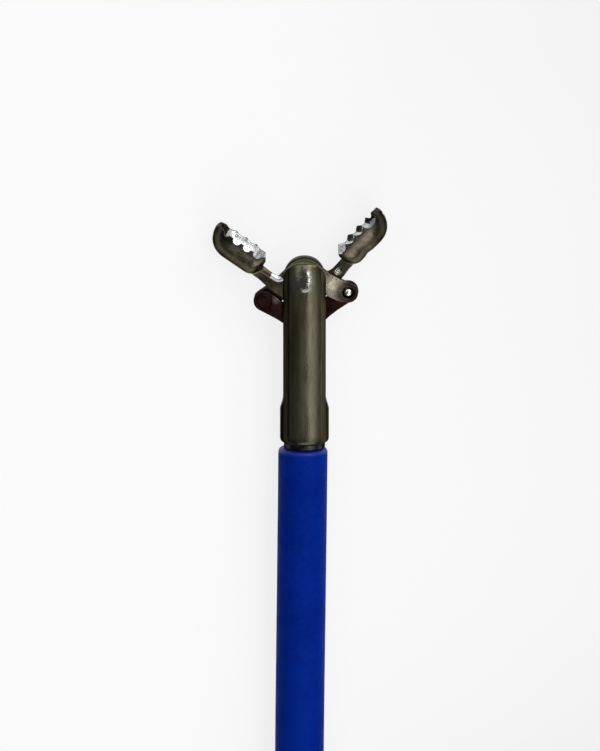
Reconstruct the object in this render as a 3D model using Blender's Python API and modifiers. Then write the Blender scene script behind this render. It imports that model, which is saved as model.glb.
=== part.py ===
"""Flexible biopsy forceps: a toothed jaw head, its coated sheath in a coil, and a finger handle.

The forceps lies on a table with its long axis along Y and the jaw hinge upright. The origin
is on the table, under the middle of the distal flange of the finger spool, which rests there.
The head is modelled about its hinge, and the handle from the tip of its strain relief.
"""

import math

import bmesh
import bpy
from mathutils import Matrix, Vector

MM = 0.001

# Fits
HEAD_GAP = 0.02 * MM
TURNING_FIT = 0.02 * MM
HANDLE_GAP = 0.25 * MM
CORD_GAP = 0.3 * MM

# Fork: a bar with two side flats, a slot for two layers of plate, and a proud strip each side
BAR_R = 1.14 * MM
STRIP_R = 1.20 * MM
STRIP_LEFT = -0.68 * MM
STRIP_RIGHT = 0.80 * MM
FLATS_HALF_WIDTH = 0.99 * MM
DOME_ROUND = 0.26 * MM
FLATS_END = -5.5 * MM
FLATS_RUNOUT = 0.85 * MM
FORK_BOTTOM = -7.62 * MM
FORK_ROUND = 0.2 * MM
SLOT_BOTTOM = -5.05 * MM
WIRE_BORE_R = 0.38 * MM

# Plates: each jaw and each link lies in one of the two layers of the slot
JAW_THICK = 0.33 * MM
LINK_THICK = 0.25 * MM
LAYER_GAP = 0.06 * MM
RIVET_R = 0.39 * MM

# Jaw, drawn closed: the cup points along +Y, and its teeth face +X at X = 0
FRONT_OPEN = math.radians(55.5)
BACK_OPEN = math.radians(44.5)
CUP_DEPTH = 1.25 * MM
CUP_FLATTEN = 0.9
CUP_HEEL = 1.97 * MM
CUP_TIP = 4.81 * MM
CUP_NOSE = 1.15 * MM
CUP_NOSE_FULLNESS = 0.86
CUP_HEEL_ROUND = 0.55 * MM
CUP_WALL = 0.2 * MM
SHANK_BACK = -1.13 * MM
SHANK_FRONT = -0.55 * MM
HUB_BACK = -1.21 * MM
HUB_R = 0.84 * MM
TAIL_OUTER = 0.96 * MM
TAIL_INNER = 0.04 * MM
EYE_ARM = 2.10 * MM
EYE_ANGLE = math.radians(-71)
EYE_R = 0.46 * MM
STUD_R = 0.25 * MM

# Teeth
TOOTH_PITCH = 0.565 * MM
TOOTH_COUNT = 4
FIRST_TOOTH = 2.55 * MM
SCALLOP_R = 0.205 * MM
TOOTH_TIP = -0.11 * MM
TOOTH_TIP_WIDTH = 0.07 * MM
FIRST_BUMP = 2.42 * MM
BUMP_PITCH = 0.58 * MM
BUMP_R = 0.38 * MM
HEEL_CUT = 0.42 * MM
NOSE_CUT = 0.2 * MM
RIM_Z = 0.3 * MM

# Links and rod
LINK_LENGTH = 2.36 * MM
LINK_EYE_R = 0.48 * MM
LINK_ARM = 0.40 * MM
LINK_FOOT_R = 0.5 * MM
LINK_HOLE_R = 0.38 * MM
ROD_PIN_Y = -2.15 * MM
ROD_PIN_R = 0.12 * MM
ROD_R = 0.34 * MM
ROD_TONGUE = 0.78 * MM
ROD_LENGTH = 3.25 * MM
TONGUE_TOP_R = 0.3 * MM

# Ferrule and sheath
SHEATH_R = 1.15 * MM
FERRULE_R = 0.96 * MM
FERRULE_NECK = 0.27 * MM
FERRULE_SPIGOT_R = 0.78 * MM
FERRULE_SPIGOT = 0.5 * MM

# Coil: a stack of turns, four beside each other and four high, held by two ties
COIL_MEAN_R = 15.5 * MM
COIL_ACROSS = 4
COIL_LAYERS = 4
TIE_THICK = 0.35 * MM
TIE_WIDTH = 5.0 * MM
TIE_TURNS = (0.25, 0.72)
COIL_FROM_HINGE = 43.5 * MM
COIL_LEAVE = math.radians(40)

# Handle, from the tip of the strain relief towards the thumb ring
AXIS_HEIGHT = 8.0 * MM
HANDLE_BESIDE_HEAD = 24.0 * MM
HANDLE_TIP_BELOW_HINGE = 14.0 * MM
BOOT_LENGTH = 21.0 * MM
BOOT_TIP_R = 2.1 * MM
BOOT_BASE_R = 3.2 * MM
BOOT_RIBS = 5
BOOT_RIB = 0.35 * MM
BOOT_SOCKET = 5.0 * MM
BOOT_FLANGE_R = 4.0 * MM
BOOT_FLANGE = 2.0 * MM
COLLAR_R = 5.6 * MM
COLLAR_LENGTH = 8.0 * MM
COLLAR_LIP = 1.4 * MM
COLLAR_GROOVES = 12
NOSE_SPIGOT = 4.2 * MM
SHAFT_R = 5.0 * MM
SHAFT_LENGTH = 58.0 * MM
RING_R = 14.5 * MM
RING_HOLE_R = 10.3 * MM
RING_THICK = 7.0 * MM
RING_EDGE = 1.6 * MM
SLOT_WIDTH = 3.0 * MM
SPOOL_TRAVEL = 10.0 * MM
TUBE_BORE_R = 1.05 * MM

# Spool
SPOOL_LENGTH = 25.0 * MM
SPOOL_FROM_BOOT = 12.5 * MM
FLANGE_THICK = 3.4 * MM
FLANGE_R = 9.3 * MM
WAIST_R = 6.1 * MM
SPOOL_WIDEN = 1.6
KEY_LENGTH = 9.0 * MM
SCREW_R = 0.9 * MM
SCREW_HEAD_R = 1.5 * MM
SCREW_HEAD = 1.1 * MM
SCREW_SPREAD_X = 8.0 * MM
SCREW_SPREAD_Y = 6.5 * MM
SCREW_DEPTH = 2.6 * MM
SPOOL_PIN_R = 0.75 * MM
CLAMP_HALF = 1.2 * MM
CLAMP_LENGTH = 7.0 * MM
TUBE_R = 0.8 * MM
TUBE_WALL = 0.3 * MM
TUBE_LENGTH = 20.0 * MM

# Facets
ROUND_STEPS = 32
SMALL_STEPS = 16

# Places worked out from the sizes
HEAD_HEIGHT = STRIP_R + 0.01 * MM
SLOT_HALF = LAYER_GAP / 2 + JAW_THICK + HEAD_GAP
PLATE_OUT = LAYER_GAP / 2 + JAW_THICK
FERRULE_BOTTOM = FORK_BOTTOM - HEAD_GAP - FERRULE_NECK
SHEATH_START = FERRULE_BOTTOM - 2 * HEAD_GAP
SPOOL_START = BOOT_LENGTH + SPOOL_FROM_BOOT
FLANGE_MIDDLE = SPOOL_START + FLANGE_THICK / 2
HANDLE_START_Y = -FLANGE_MIDDLE
HEAD_PLACE = Vector((-HANDLE_BESIDE_HEAD, HANDLE_START_Y + HANDLE_TIP_BELOW_HINGE, HEAD_HEIGHT))
COIL_HALF = COIL_ACROSS * SHEATH_R
OUTER_TURN_R = COIL_MEAN_R + COIL_HALF - SHEATH_R
COIL_BOTTOM = TIE_THICK + CORD_GAP
COIL_HIGH = 2 * SHEATH_R * COIL_LAYERS
SHEATH_DRIFT = -0.30 * MM
COIL_PLACE = Vector(
    (HEAD_PLACE.x + SHEATH_DRIFT + OUTER_TURN_R, HEAD_PLACE.y - COIL_FROM_HINGE, COIL_BOTTOM)
)

STEEL = (0.16, 0.15, 0.12)
DARK_STEEL = (0.11, 0.10, 0.09)
BRIGHT_STEEL = (0.62, 0.62, 0.60)
BLUE = (0.004, 0.020, 0.19)
PALE = (0.72, 0.73, 0.74)
GREY = (0.16, 0.17, 0.18)

parts = None
cutters = None


def clear_scene():
    for old in list(bpy.data.objects):
        bpy.data.objects.remove(old, do_unlink=True)


def new_collection(name):
    made = bpy.data.collections.new(name)
    bpy.context.scene.collection.children.link(made)
    return made


def material(name, colour, metallic, roughness):
    """One Principled material for each sub-part."""
    made = bpy.data.materials.new(name)
    made.use_nodes = True
    shader = made.node_tree.nodes["Principled BSDF"]
    shader.inputs["Base Color"].default_value = (*colour, 1)
    shader.inputs["Metallic"].default_value = metallic
    shader.inputs["Roughness"].default_value = roughness
    made.diffuse_color = (*colour, 1)
    return made


def empty(name, place):
    made = bpy.data.objects.new(name, None)
    made.location = place
    parts.objects.link(made)
    return made


def helper(name, mesh, parent=None):
    """A cutter or other helper, kept out of renders."""
    made = bpy.data.objects.new(name, mesh)
    made.hide_render = True
    made.display_type = "WIRE"
    made.parent = parent
    cutters.objects.link(made)
    return made


def baked(made):
    """The object's mesh with its modifiers applied, its caps welded and its faces turned out."""
    bpy.context.view_layer.update()
    graph = bpy.context.evaluated_depsgraph_get()
    mesh = bpy.data.meshes.new_from_object(made.evaluated_get(graph))
    mesh.transform(Matrix.Diagonal((*made.scale, 1)))
    work = bmesh.new()
    work.from_mesh(mesh)
    bmesh.ops.remove_doubles(work, verts=work.verts, dist=0.0001 * MM)
    bmesh.ops.recalc_face_normals(work, faces=work.faces)
    work.to_mesh(mesh)
    work.free()
    return mesh


def finish(name, mesh, look, parent, place=(0, 0, 0), turn=(0, 0, 0)):
    """A sub-part: its mesh shaded smooth, with its material, in its place under its parent."""
    made = bpy.data.objects.new(name, mesh)
    made.parent = parent
    made.location = place
    made.rotation_euler = turn
    mesh.materials.clear()
    mesh.materials.append(look)
    mesh.shade_smooth()
    mesh.set_sharp_from_angle(angle=math.radians(32))
    parts.objects.link(made)
    return made


def boolean(made, operation, other):
    step = made.modifiers.new(operation.lower(), "BOOLEAN")
    step.operation = operation
    step.solver = "EXACT"
    step.object = other


def cut(made, other):
    boolean(made, "DIFFERENCE", other)


def join(made, other):
    boolean(made, "UNION", other)


def keep(made, other):
    boolean(made, "INTERSECT", other)


def bevelled(made, width, segments=2, angle=40):
    step = made.modifiers.new("edge", "BEVEL")
    step.width = width
    step.segments = segments
    step.limit_method = "ANGLE"
    step.angle_limit = math.radians(angle)


def turned(name, profile, closed=False, steps=ROUND_STEPS):
    """A profile of (radius, along) turned about Y. It runs down its outer side."""
    mesh = bpy.data.meshes.new(name)
    points = [(radius, along, 0) for radius, along in profile]
    edges = [(i, i + 1) for i in range(len(points) - 1)]
    if closed:
        edges.append((len(points) - 1, 0))
    mesh.from_pydata(points, edges, [])
    made = helper(name, mesh)
    screw = made.modifiers.new("turn", "SCREW")
    screw.axis = "Y"
    screw.angle = math.tau
    screw.steps = steps
    screw.render_steps = steps
    screw.use_merge_vertices = True
    screw.merge_threshold = 0.0001 * MM
    return made


def plate(name, loops, low, high):
    """Flat outlines in XY, filled and extruded from low to high. Inner outlines are holes."""
    curve = bpy.data.curves.new(name, "CURVE")
    curve.dimensions = "2D"
    curve.fill_mode = "BOTH"
    curve.extrude = (high - low) / 2 / MM
    for loop in loops:
        spline = curve.splines.new("POLY")
        spline.points.add(len(loop) - 1)
        spline.use_cyclic_u = True
        for point, (x, y) in zip(spline.points, loop):
            point.co = (x / MM, y / MM, 0, 1)
    drawn = bpy.data.objects.new(name, curve)
    mesh = bpy.data.meshes.new_from_object(drawn)
    bpy.data.objects.remove(drawn)
    bpy.data.curves.remove(curve)
    work = bmesh.new()
    work.from_mesh(mesh)
    bmesh.ops.remove_doubles(work, verts=work.verts, dist=0.0001)
    bmesh.ops.recalc_face_normals(work, faces=work.faces)
    work.to_mesh(mesh)
    work.free()
    mesh.transform(Matrix.Translation((0, 0, (low + high) / 2)) @ Matrix.Diagonal((MM, MM, MM, 1)))
    return helper(name, mesh)


def cylinder(name, radius, low, high, at=(0, 0), steps=SMALL_STEPS):
    """An upright cylinder along Z."""
    work = bmesh.new()
    bmesh.ops.create_cone(
        work, cap_ends=True, segments=steps, radius1=radius, radius2=radius, depth=high - low
    )
    bmesh.ops.translate(work, verts=work.verts, vec=(at[0], at[1], (low + high) / 2))
    mesh = bpy.data.meshes.new(name)
    work.to_mesh(mesh)
    work.free()
    return helper(name, mesh)


def box(name, low, high):
    low, high = Vector(low), Vector(high)
    work = bmesh.new()
    bmesh.ops.create_cube(work, size=1)
    bmesh.ops.scale(work, verts=work.verts, vec=high - low)
    bmesh.ops.translate(work, verts=work.verts, vec=(low + high) / 2)
    mesh = bpy.data.meshes.new(name)
    work.to_mesh(mesh)
    work.free()
    return helper(name, mesh)


def arc(x, y, radius, start, end, count):
    """Points on a circle, from start to end in degrees."""
    found = []
    for i in range(count + 1):
        angle = math.radians(start + (end - start) * i / count)
        found.append((x + radius * math.cos(angle), y + radius * math.sin(angle)))
    return found


def rounded_box(low_x, low_y, high_x, high_y, corner, count=3):
    """A rectangle with round corners, as one outline."""
    return (
        arc(high_x - corner, high_y - corner, corner, 0, 90, count)
        + arc(low_x + corner, high_y - corner, corner, 90, 180, count)
        + arc(low_x + corner, low_y + corner, corner, 180, 270, count)
        + arc(high_x - corner, low_y + corner, corner, 270, 360, count)
    )


def between(a, b, c, d, t):
    """A point of the smooth curve that runs from b to c."""
    return (
        b * 2 + (c - a) * t + (a * 2 - b * 5 + c * 4 - d) * t**2 + (b * 3 - a - c * 3 + d) * t**3
    ) / 2


def smooth_loop(points, count):
    """A closed smooth curve through the points."""
    given = [Vector(point) for point in points]
    found = []
    for i in range(len(given)):
        a, b, c, d = (given[(i + k - 1) % len(given)] for k in range(4))
        found += [tuple(between(a, b, c, d, j / count)) for j in range(count)]
    return found


def smooth_route(points, count):
    """An open smooth curve through a cord's own points."""
    given = [Vector(point) for point in points]
    given = [given[0] * 2 - given[1], *given, given[-1] * 2 - given[-2]]
    found = []
    for i in range(1, len(given) - 2):
        found += [between(*given[i - 1 : i + 3], j / count) for j in range(count)]
    return [*found, given[-2]]


def slim_bar(radius_a, arm, radius_b, length, count=9):
    """The outline of two discs joined by a slimmer arm, the second at +X."""
    near, far = length * 0.4, length * 0.6
    lean_a = math.degrees(math.asin((radius_a - arm) / near))
    lean_b = math.degrees(math.asin((radius_b - arm) / (length - far)))
    return (
        arc(0, 0, radius_a, 90 - lean_a, 270 + lean_a, count)
        + [(near, -arm), (far, -arm)]
        + arc(length, 0, radius_b, -90 - lean_b, 90 + lean_b, count)
        + [(far, arm), (near, arm)]
    )


def round_bar(name, radius, top):
    """A bar along Y with a round edge at its top and a smaller one at its bottom."""
    high = [
        (radius - DOME_ROUND + x, top - DOME_ROUND + y)
        for x, y in arc(0, 0, DOME_ROUND, 90, 0, 4)
    ]
    low = [
        (radius - FORK_ROUND / 2 + x / 2, FORK_BOTTOM + FORK_ROUND + y)
        for x, y in arc(0, 0, FORK_ROUND, 0, -90, 3)
    ]
    return turned(name, [(0, top), *high, *low, (0, FORK_BOTTOM)], steps=48)


def make_fork(parent, look):
    """A bar, milled to side flats and a dome, with a proud strip, a slot and its bores."""
    top = FLATS_HALF_WIDTH
    bar = round_bar("fork_bar", BAR_R, top)
    wide = BAR_R + 0.05 * MM
    low = FORK_BOTTOM - 0.5 * MM
    side = [
        (
            FLATS_HALF_WIDTH + (wide - FLATS_HALF_WIDTH) * math.sin(math.pi / 12 * i) ** 2,
            FLATS_END - FLATS_RUNOUT * i / 6,
        )
        for i in range(7)
    ]
    side.append((wide, low))
    front = (
        arc(0, 0, FLATS_HALF_WIDTH, 0, 180, 24)
        + [(-x, y) for x, y in side]
        + list(reversed(side))
    )
    reach = STRIP_R + 0.1 * MM
    keep(bar, plate("fork_front_outline", [front], -reach, reach))

    dome = FLATS_HALF_WIDTH - 0.015 * MM
    right = math.degrees(math.acos(STRIP_RIGHT / dome))
    left = math.degrees(math.acos(STRIP_LEFT / dome))
    strip_outline = arc(0, 0, dome, right, left, 14) + [(STRIP_LEFT, low), (STRIP_RIGHT, low)]
    strip = round_bar("fork_strip", STRIP_R, top)
    keep(strip, plate("fork_strip_outline", [strip_outline], -reach, reach))
    join(bar, strip)

    across = 2 * BAR_R
    low_side, high_side = (-across, SLOT_BOTTOM, -SLOT_HALF), (across, 2 * top, SLOT_HALF)
    cut(bar, box("fork_slot", low_side, high_side))
    bore = turned(
        "fork_bore",
        [
            (0, SLOT_BOTTOM + 0.2 * MM),
            (WIRE_BORE_R, SLOT_BOTTOM + 0.2 * MM),
            (WIRE_BORE_R, FORK_BOTTOM + FERRULE_SPIGOT + HEAD_GAP),
            (FERRULE_SPIGOT_R + HEAD_GAP, FORK_BOTTOM + FERRULE_SPIGOT + HEAD_GAP),
            (FERRULE_SPIGOT_R + HEAD_GAP, low),
            (0, low),
        ],
        steps=ROUND_STEPS,
    )
    cut(bar, bore)
    cut(bar, cylinder("fork_rivet_hole", RIVET_R + TURNING_FIT, -reach, reach, steps=24))
    return finish("fork", baked(bar), look, parent)


def make_rivet(parent, look):
    """The hinge rivet, dressed to the round of the strip."""
    shank = cylinder("rivet_shank", RIVET_R, -2 * STRIP_R, 2 * STRIP_R, steps=24)
    round_face = turned(
        "rivet_round",
        [(0, STRIP_R), (STRIP_R, STRIP_R), (STRIP_R, -STRIP_R), (0, -STRIP_R)],
        steps=60,
    )
    keep(shank, round_face)
    return finish("hinge_rivet", baked(shank), look, parent)


def cup_profile(shrink, heel_wall):
    """Half the cup's length section, from the tip down to the heel."""
    radius = CUP_DEPTH - shrink
    nose_at = CUP_TIP - CUP_NOSE
    full = CUP_NOSE_FULLNESS
    nose = [
        (x**full * radius, nose_at + y**full * (CUP_NOSE - shrink))
        for x, y in ((max(x, 0), max(y, 0)) for x, y in arc(0, 0, 1, 90, 0, 7))
    ]
    heel = CUP_HEEL + heel_wall
    round_end = [
        (radius - CUP_HEEL_ROUND * (1 - x), heel + CUP_HEEL_ROUND * (1 + y))
        for x, y in arc(0, 0, 1, 0, -90, 4)
    ]
    nose[0] = (0, nose[0][1])
    return nose + round_end + [(0, heel)]


def toothed_edge(name, edge, low, high):
    """A cutter that leaves the given toothed edge on the rim between two heights."""
    clear = CUP_DEPTH
    outline = edge + [(clear, edge[-1][1]), (clear, edge[0][1])]
    return plate(name, [outline], low, high)


def scallop_edge():
    """Narrow teeth between round scallops."""
    edge = [(TOOTH_TIP, 0)]
    for i in range(TOOTH_COUNT):
        middle = FIRST_TOOTH + i * TOOTH_PITCH
        half = (TOOTH_PITCH - TOOTH_TIP_WIDTH) / 2
        centre = TOOTH_TIP - SCALLOP_R / 2
        bowl = arc(centre, middle, SCALLOP_R, -100, -260, 8)
        edge += [(TOOTH_TIP, middle - half), *bowl, (TOOTH_TIP, middle + half)]
    last = FIRST_TOOTH + (TOOTH_COUNT - 0.5) * TOOTH_PITCH
    return [*edge, (-HEAD_GAP, last + 0.2 * MM), (-HEAD_GAP, CUP_TIP + CUP_NOSE)]


def bump_edge():
    """Round bumps opposite the scallops, meeting in cusps."""
    half = math.degrees(math.asin(BUMP_PITCH / 2 / BUMP_R))
    cusp = BUMP_R * (1 - math.cos(math.radians(half)))
    edge = [(-HEAD_GAP - cusp, 0)]
    for i in range(TOOTH_COUNT):
        middle = FIRST_BUMP + i * BUMP_PITCH
        edge += arc(-HEAD_GAP - BUMP_R, middle, BUMP_R, -half, half, 6)[min(i, 1) :]
    last = FIRST_BUMP + (TOOTH_COUNT - 0.5) * BUMP_PITCH
    return [*edge, (-HEAD_GAP, last + 0.2 * MM), (-HEAD_GAP, CUP_TIP + CUP_NOSE)]


def heel_corner():
    """A cutter that rounds the heel of the cup off where it nears the teeth."""
    foot = CUP_HEEL + HEAD_GAP
    head = CUP_HEEL + HEEL_CUT
    outline = [(x, y) for x, y in arc(-HEEL_CUT, head, HEEL_CUT, -90, 0, 5)]
    outline += [(CUP_DEPTH, head), (CUP_DEPTH, 0), (-HEEL_CUT - 0.06 * MM, 0)]
    outline.append((-HEEL_CUT - 0.06 * MM, foot - 0.05 * MM))
    return plate("cup_heel_corner", [outline], -2 * CUP_DEPTH, 2 * CUP_DEPTH)


def nose_corner():
    """A cutter that rounds the nose of the cup off where it meets the teeth's plane."""
    high = CUP_TIP - NOSE_CUT - 0.05 * MM
    outline = arc(-HEAD_GAP - NOSE_CUT, high, NOSE_CUT, 80, 0, 4)
    outline += [(CUP_DEPTH, high), (CUP_DEPTH, CUP_TIP + NOSE_CUT)]
    outline.append((-HEAD_GAP - 2 * NOSE_CUT, CUP_TIP + NOSE_CUT))
    return plate("cup_nose_corner", [outline], -2 * CUP_DEPTH, 2 * CUP_DEPTH)


def jaw_outline():
    """The flat of the jaw: shank, hub and tail."""
    eye_x = EYE_ARM * math.cos(EYE_ANGLE)
    eye_y = EYE_ARM * math.sin(EYE_ANGLE)
    shank_end = CUP_HEEL + CUP_WALL + 0.1 * MM
    knots = [
        (SHANK_FRONT + HEAD_GAP, shank_end),
        (SHANK_FRONT, CUP_HEEL * 0.85),
        (SHANK_FRONT, CUP_HEEL * 0.62),
        (SHANK_FRONT + 0.16 * MM, HUB_R * 1.1),
        (-0.04 * MM, HUB_R),
        (HUB_R * 0.55, HUB_R * 0.82),
        (HUB_R, HUB_R * 0.38),
        (TAIL_OUTER - 0.02 * MM, -HUB_R * 0.15),
        (TAIL_OUTER, -HUB_R * 0.7),
        (TAIL_OUTER + 0.02 * MM, -HUB_R * 1.3),
        (TAIL_OUTER + 0.12 * MM, eye_y + EYE_R * 0.7),
        *arc(eye_x, eye_y, EYE_R, -8, -165, 7),
        (TAIL_INNER + 0.07 * MM, eye_y + EYE_R * 0.3),
        (TAIL_INNER, -HUB_R * 1.7),
        (TAIL_INNER - 0.08 * MM, -HUB_R * 1.2),
        (-HUB_R * 0.45, -HUB_R * 0.9),
        (-HUB_R * 0.95, -HUB_R * 0.45),
        (HUB_BACK + 0.06 * MM, HUB_R * 0.15),
        (HUB_BACK, HUB_R * 0.9),
        (HUB_BACK + 0.02 * MM, CUP_HEEL * 0.68),
        (SHANK_BACK, CUP_HEEL * 0.9),
        (SHANK_BACK + 0.04 * MM, shank_end),
        ((SHANK_BACK + SHANK_FRONT) / 2, shank_end + 0.08 * MM),
    ]
    return smooth_loop(knots, 2), (eye_x, eye_y)


def jaw_mesh():
    """One jaw, closed, with its flat in the upper layer."""
    cup = turned("cup_outside", cup_profile(0, 0), steps=32)
    cup.scale.z = CUP_FLATTEN
    hollow = turned("cup_hollow", cup_profile(CUP_WALL, CUP_WALL), steps=24)
    hollow.scale.z = CUP_FLATTEN
    reach = 2 * CUP_TIP
    cut(cup, box("cup_other_half", (-HEAD_GAP, -reach, -reach), (reach, reach, reach)))

    outline, eye = jaw_outline()
    flat = plate("jaw_flat", [outline], LAYER_GAP / 2, PLATE_OUT)
    bevelled(flat, 0.03 * MM, 1)
    join(flat, cup)
    cut(flat, hollow)
    cut(flat, toothed_edge("cup_scallops", scallop_edge(), RIM_Z, 2 * CUP_DEPTH))
    cut(flat, toothed_edge("cup_bumps", bump_edge(), -2 * CUP_DEPTH, -RIM_Z))
    cut(flat, heel_corner())
    cut(flat, nose_corner())
    over = STRIP_R
    cut(flat, cylinder("jaw_rivet_hole", RIVET_R + TURNING_FIT, -over, over, steps=24))
    cut(flat, cylinder("jaw_eye", STUD_R + TURNING_FIT, -over, over, at=eye))
    return baked(flat)


def make_jaws(parent, front_look, back_look):
    mesh = jaw_mesh()
    finish("front_jaw", mesh, front_look, parent, turn=(0, 0, FRONT_OPEN))
    finish("back_jaw", mesh.copy(), back_look, parent, turn=(0, math.pi, -BACK_OPEN))


def eye_place(side, opening):
    """An eye of a jaw that stands open, the front jaw's at side 1 and the back jaw's at side -1."""
    angle = EYE_ANGLE + opening
    return Vector((side * EYE_ARM * math.cos(angle), EYE_ARM * math.sin(angle), 0))


def link_mesh():
    """One link: a flat bar with a stud for the jaw's eye and a wide hole for the rod pin."""
    bar = plate(
        "link_flat",
        [
            slim_bar(LINK_EYE_R, LINK_ARM, LINK_FOOT_R, LINK_LENGTH),
            arc(LINK_LENGTH, 0, LINK_HOLE_R, 0, 342, 19),
        ],
        PLATE_OUT - LINK_THICK,
        PLATE_OUT,
    )
    bevelled(bar, 0.03 * MM, 1)
    stud = cylinder("link_stud", STUD_R, -PLATE_OUT + 0.03 * MM, PLATE_OUT - LINK_THICK / 2)
    join(bar, stud)
    return baked(bar)


def make_links(parent, left_look, right_look):
    mesh = link_mesh()
    pin = Vector((0, ROD_PIN_Y, 0))
    left_eye = eye_place(-1, BACK_OPEN)
    right_eye = eye_place(1, FRONT_OPEN)
    left_way = pin - left_eye
    right_way = pin - right_eye
    left_turn = math.atan2(left_way.y, left_way.x)
    right_turn = math.atan2(-right_way.y, -right_way.x)
    finish("left_link", mesh, left_look, parent, left_eye, (0, 0, left_turn))
    finish("right_link", mesh.copy(), right_look, parent, right_eye, (0, math.pi, right_turn))


def make_rod(parent, rod_look, pin_look):
    """The rod end, its tongue between the links, and its pin. Its origin is on the pin."""
    tongue_half = PLATE_OUT - LINK_THICK - HEAD_GAP
    rod = turned(
        "rod_bar",
        [
            (0, TONGUE_TOP_R),
            (ROD_R, TONGUE_TOP_R),
            (ROD_R, -ROD_LENGTH + 0.1 * MM),
            (ROD_R - 0.1 * MM, -ROD_LENGTH),
            (0, -ROD_LENGTH),
        ],
        steps=24,
    )
    far = 2 * ROD_R
    for side, sign in (("front", 1), ("back", -1)):
        low, high = sorted((sign * tongue_half, sign * far))
        cut(rod, box(f"rod_flat_{side}", (-far, -ROD_TONGUE, low), (far, far, high)))
    nose = arc(0, 0, TONGUE_TOP_R, 0, 180, 10) + [(-far, 0), (-far, -2 * ROD_LENGTH)]
    nose += [(far, -2 * ROD_LENGTH), (far, 0)]
    keep(rod, plate("rod_nose", [nose], -far, far))
    cut(rod, cylinder("rod_hole", ROD_PIN_R + HEAD_GAP / 2, -far, far, steps=16))
    place = (0, ROD_PIN_Y, 0)
    finish("rod_end", baked(rod), rod_look, parent, place)
    pin_half = PLATE_OUT
    pin = cylinder("rod_pin_shape", ROD_PIN_R, -pin_half, pin_half, steps=16)
    finish("rod_pin", baked(pin), pin_look, parent, place)


def make_ferrule(parent, look):
    """The steel collar whose spigot sits in the fork's counterbore."""
    spigot_top = FORK_BOTTOM + FERRULE_SPIGOT
    collar_top = FORK_BOTTOM - HEAD_GAP
    edge = 0.04 * MM
    ferrule = turned(
        "ferrule_shape",
        [
            (WIRE_BORE_R, spigot_top),
            (FERRULE_SPIGOT_R, spigot_top),
            (FERRULE_SPIGOT_R, collar_top),
            (FERRULE_R - edge, collar_top),
            (FERRULE_R, collar_top - edge),
            (FERRULE_R, FERRULE_BOTTOM + edge),
            (FERRULE_R - edge, FERRULE_BOTTOM),
            (WIRE_BORE_R, FERRULE_BOTTOM),
        ],
        closed=True,
        steps=24,
    )
    finish("sheath_ferrule", baked(ferrule), look, parent)


def clear_of_coil():
    """How far before the coil's tangent point the straight sheath has to end."""
    outside = COIL_MEAN_R + COIL_HALF + CORD_GAP
    return math.sqrt(outside**2 - (OUTER_TURN_R - SHEATH_R) ** 2)


def tube(name, points, look):
    """A plain length of sheath along its points."""
    curve = bpy.data.curves.new(name, "CURVE")
    curve.dimensions = "3D"
    curve.bevel_depth = SHEATH_R
    curve.bevel_resolution = 2
    curve.use_fill_caps = True
    spline = curve.splines.new("POLY")
    spline.points.add(len(points) - 1)
    for point, place in zip(spline.points, points):
        point.co = (*place, 1)
    curve.materials.append(look)
    made = bpy.data.objects.new(name, curve)
    parts.objects.link(made)


def make_sheath(look):
    """The sheath: out of the ferrule, into the coil, and out of its top layer to the handle."""
    x, y, z = HEAD_PLACE
    low = COIL_BOTTOM + SHEATH_R
    lead_end = COIL_PLACE.y + clear_of_coil()
    lead = [
        (x - 0.07 * MM, y + SHEATH_START, z),
        (x - 0.10 * MM, y - 11 * MM, z - 0.02 * MM),
        (x - 0.16 * MM, y - 16 * MM, z - 0.03 * MM),
        (x - 0.22 * MM, y - 21 * MM, z + 0.05 * MM),
        (x - 0.27 * MM, y - 27 * MM, z + 0.30 * MM),
        (x + SHEATH_DRIFT, lead_end, low),
    ]
    tube("sheath_lead", smooth_route(lead, 3), look)

    high = low + (COIL_LAYERS - 1) * 2 * SHEATH_R
    leave = Matrix.Rotation(COIL_LEAVE, 2) @ Vector((OUTER_TURN_R, clear_of_coil()))
    leave_x, leave_y = COIL_PLACE.x + leave.x, COIL_PLACE.y + leave.y
    entry = HANDLE_START_Y - 2 * MM
    tail = []
    for u in (0, 0.25, 0.5, 0.75, 1):
        sink = u * u * (3 - 2 * u)
        tail.append(
            (leave_x * (1 - u) ** 2, leave_y + u * (entry - leave_y), high + sink * (AXIS_HEIGHT - high))
        )
    tail.append((0, HANDLE_START_Y + BOOT_SOCKET - 1 * MM, AXIS_HEIGHT))
    tube("sheath_tail", smooth_route(tail, 3), look)

    section = rounded_box(
        COIL_MEAN_R - COIL_HALF, 0, COIL_MEAN_R + COIL_HALF, COIL_HIGH, SHEATH_R, 2
    )
    section.reverse()
    ring = turned("coil_shape", section, closed=True, steps=40)
    finish("sheath_coil", baked(ring), look, None, COIL_PLACE, (math.pi / 2, 0, 0))


def make_ties(look):
    """Two bands round the coil, which rests on them."""
    hole_r = COIL_MEAN_R - COIL_HALF
    inward = -COIL_HALF - CORD_GAP - hole_r + math.sqrt(hole_r**2 - (TIE_WIDTH / 2) ** 2)
    outward = COIL_HALF + CORD_GAP
    top = COIL_BOTTOM + COIL_HIGH + CORD_GAP
    inner = rounded_box(inward, TIE_THICK, outward, top, SHEATH_R, 4)
    outer = rounded_box(
        inward - TIE_THICK, 0, outward + TIE_THICK, top + TIE_THICK, SHEATH_R + TIE_THICK, 4
    )
    band = plate("tie_band", [outer, inner], -TIE_WIDTH / 2, TIE_WIDTH / 2)
    for number, turn in enumerate(TIE_TURNS, 1):
        angle = turn * math.tau
        place = (
            COIL_PLACE.x + COIL_MEAN_R * math.cos(angle),
            COIL_PLACE.y + COIL_MEAN_R * math.sin(angle),
            0,
        )
        finish(f"coil_tie_{number}", baked(band), look, None, place, (math.pi / 2, 0, angle))


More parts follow.
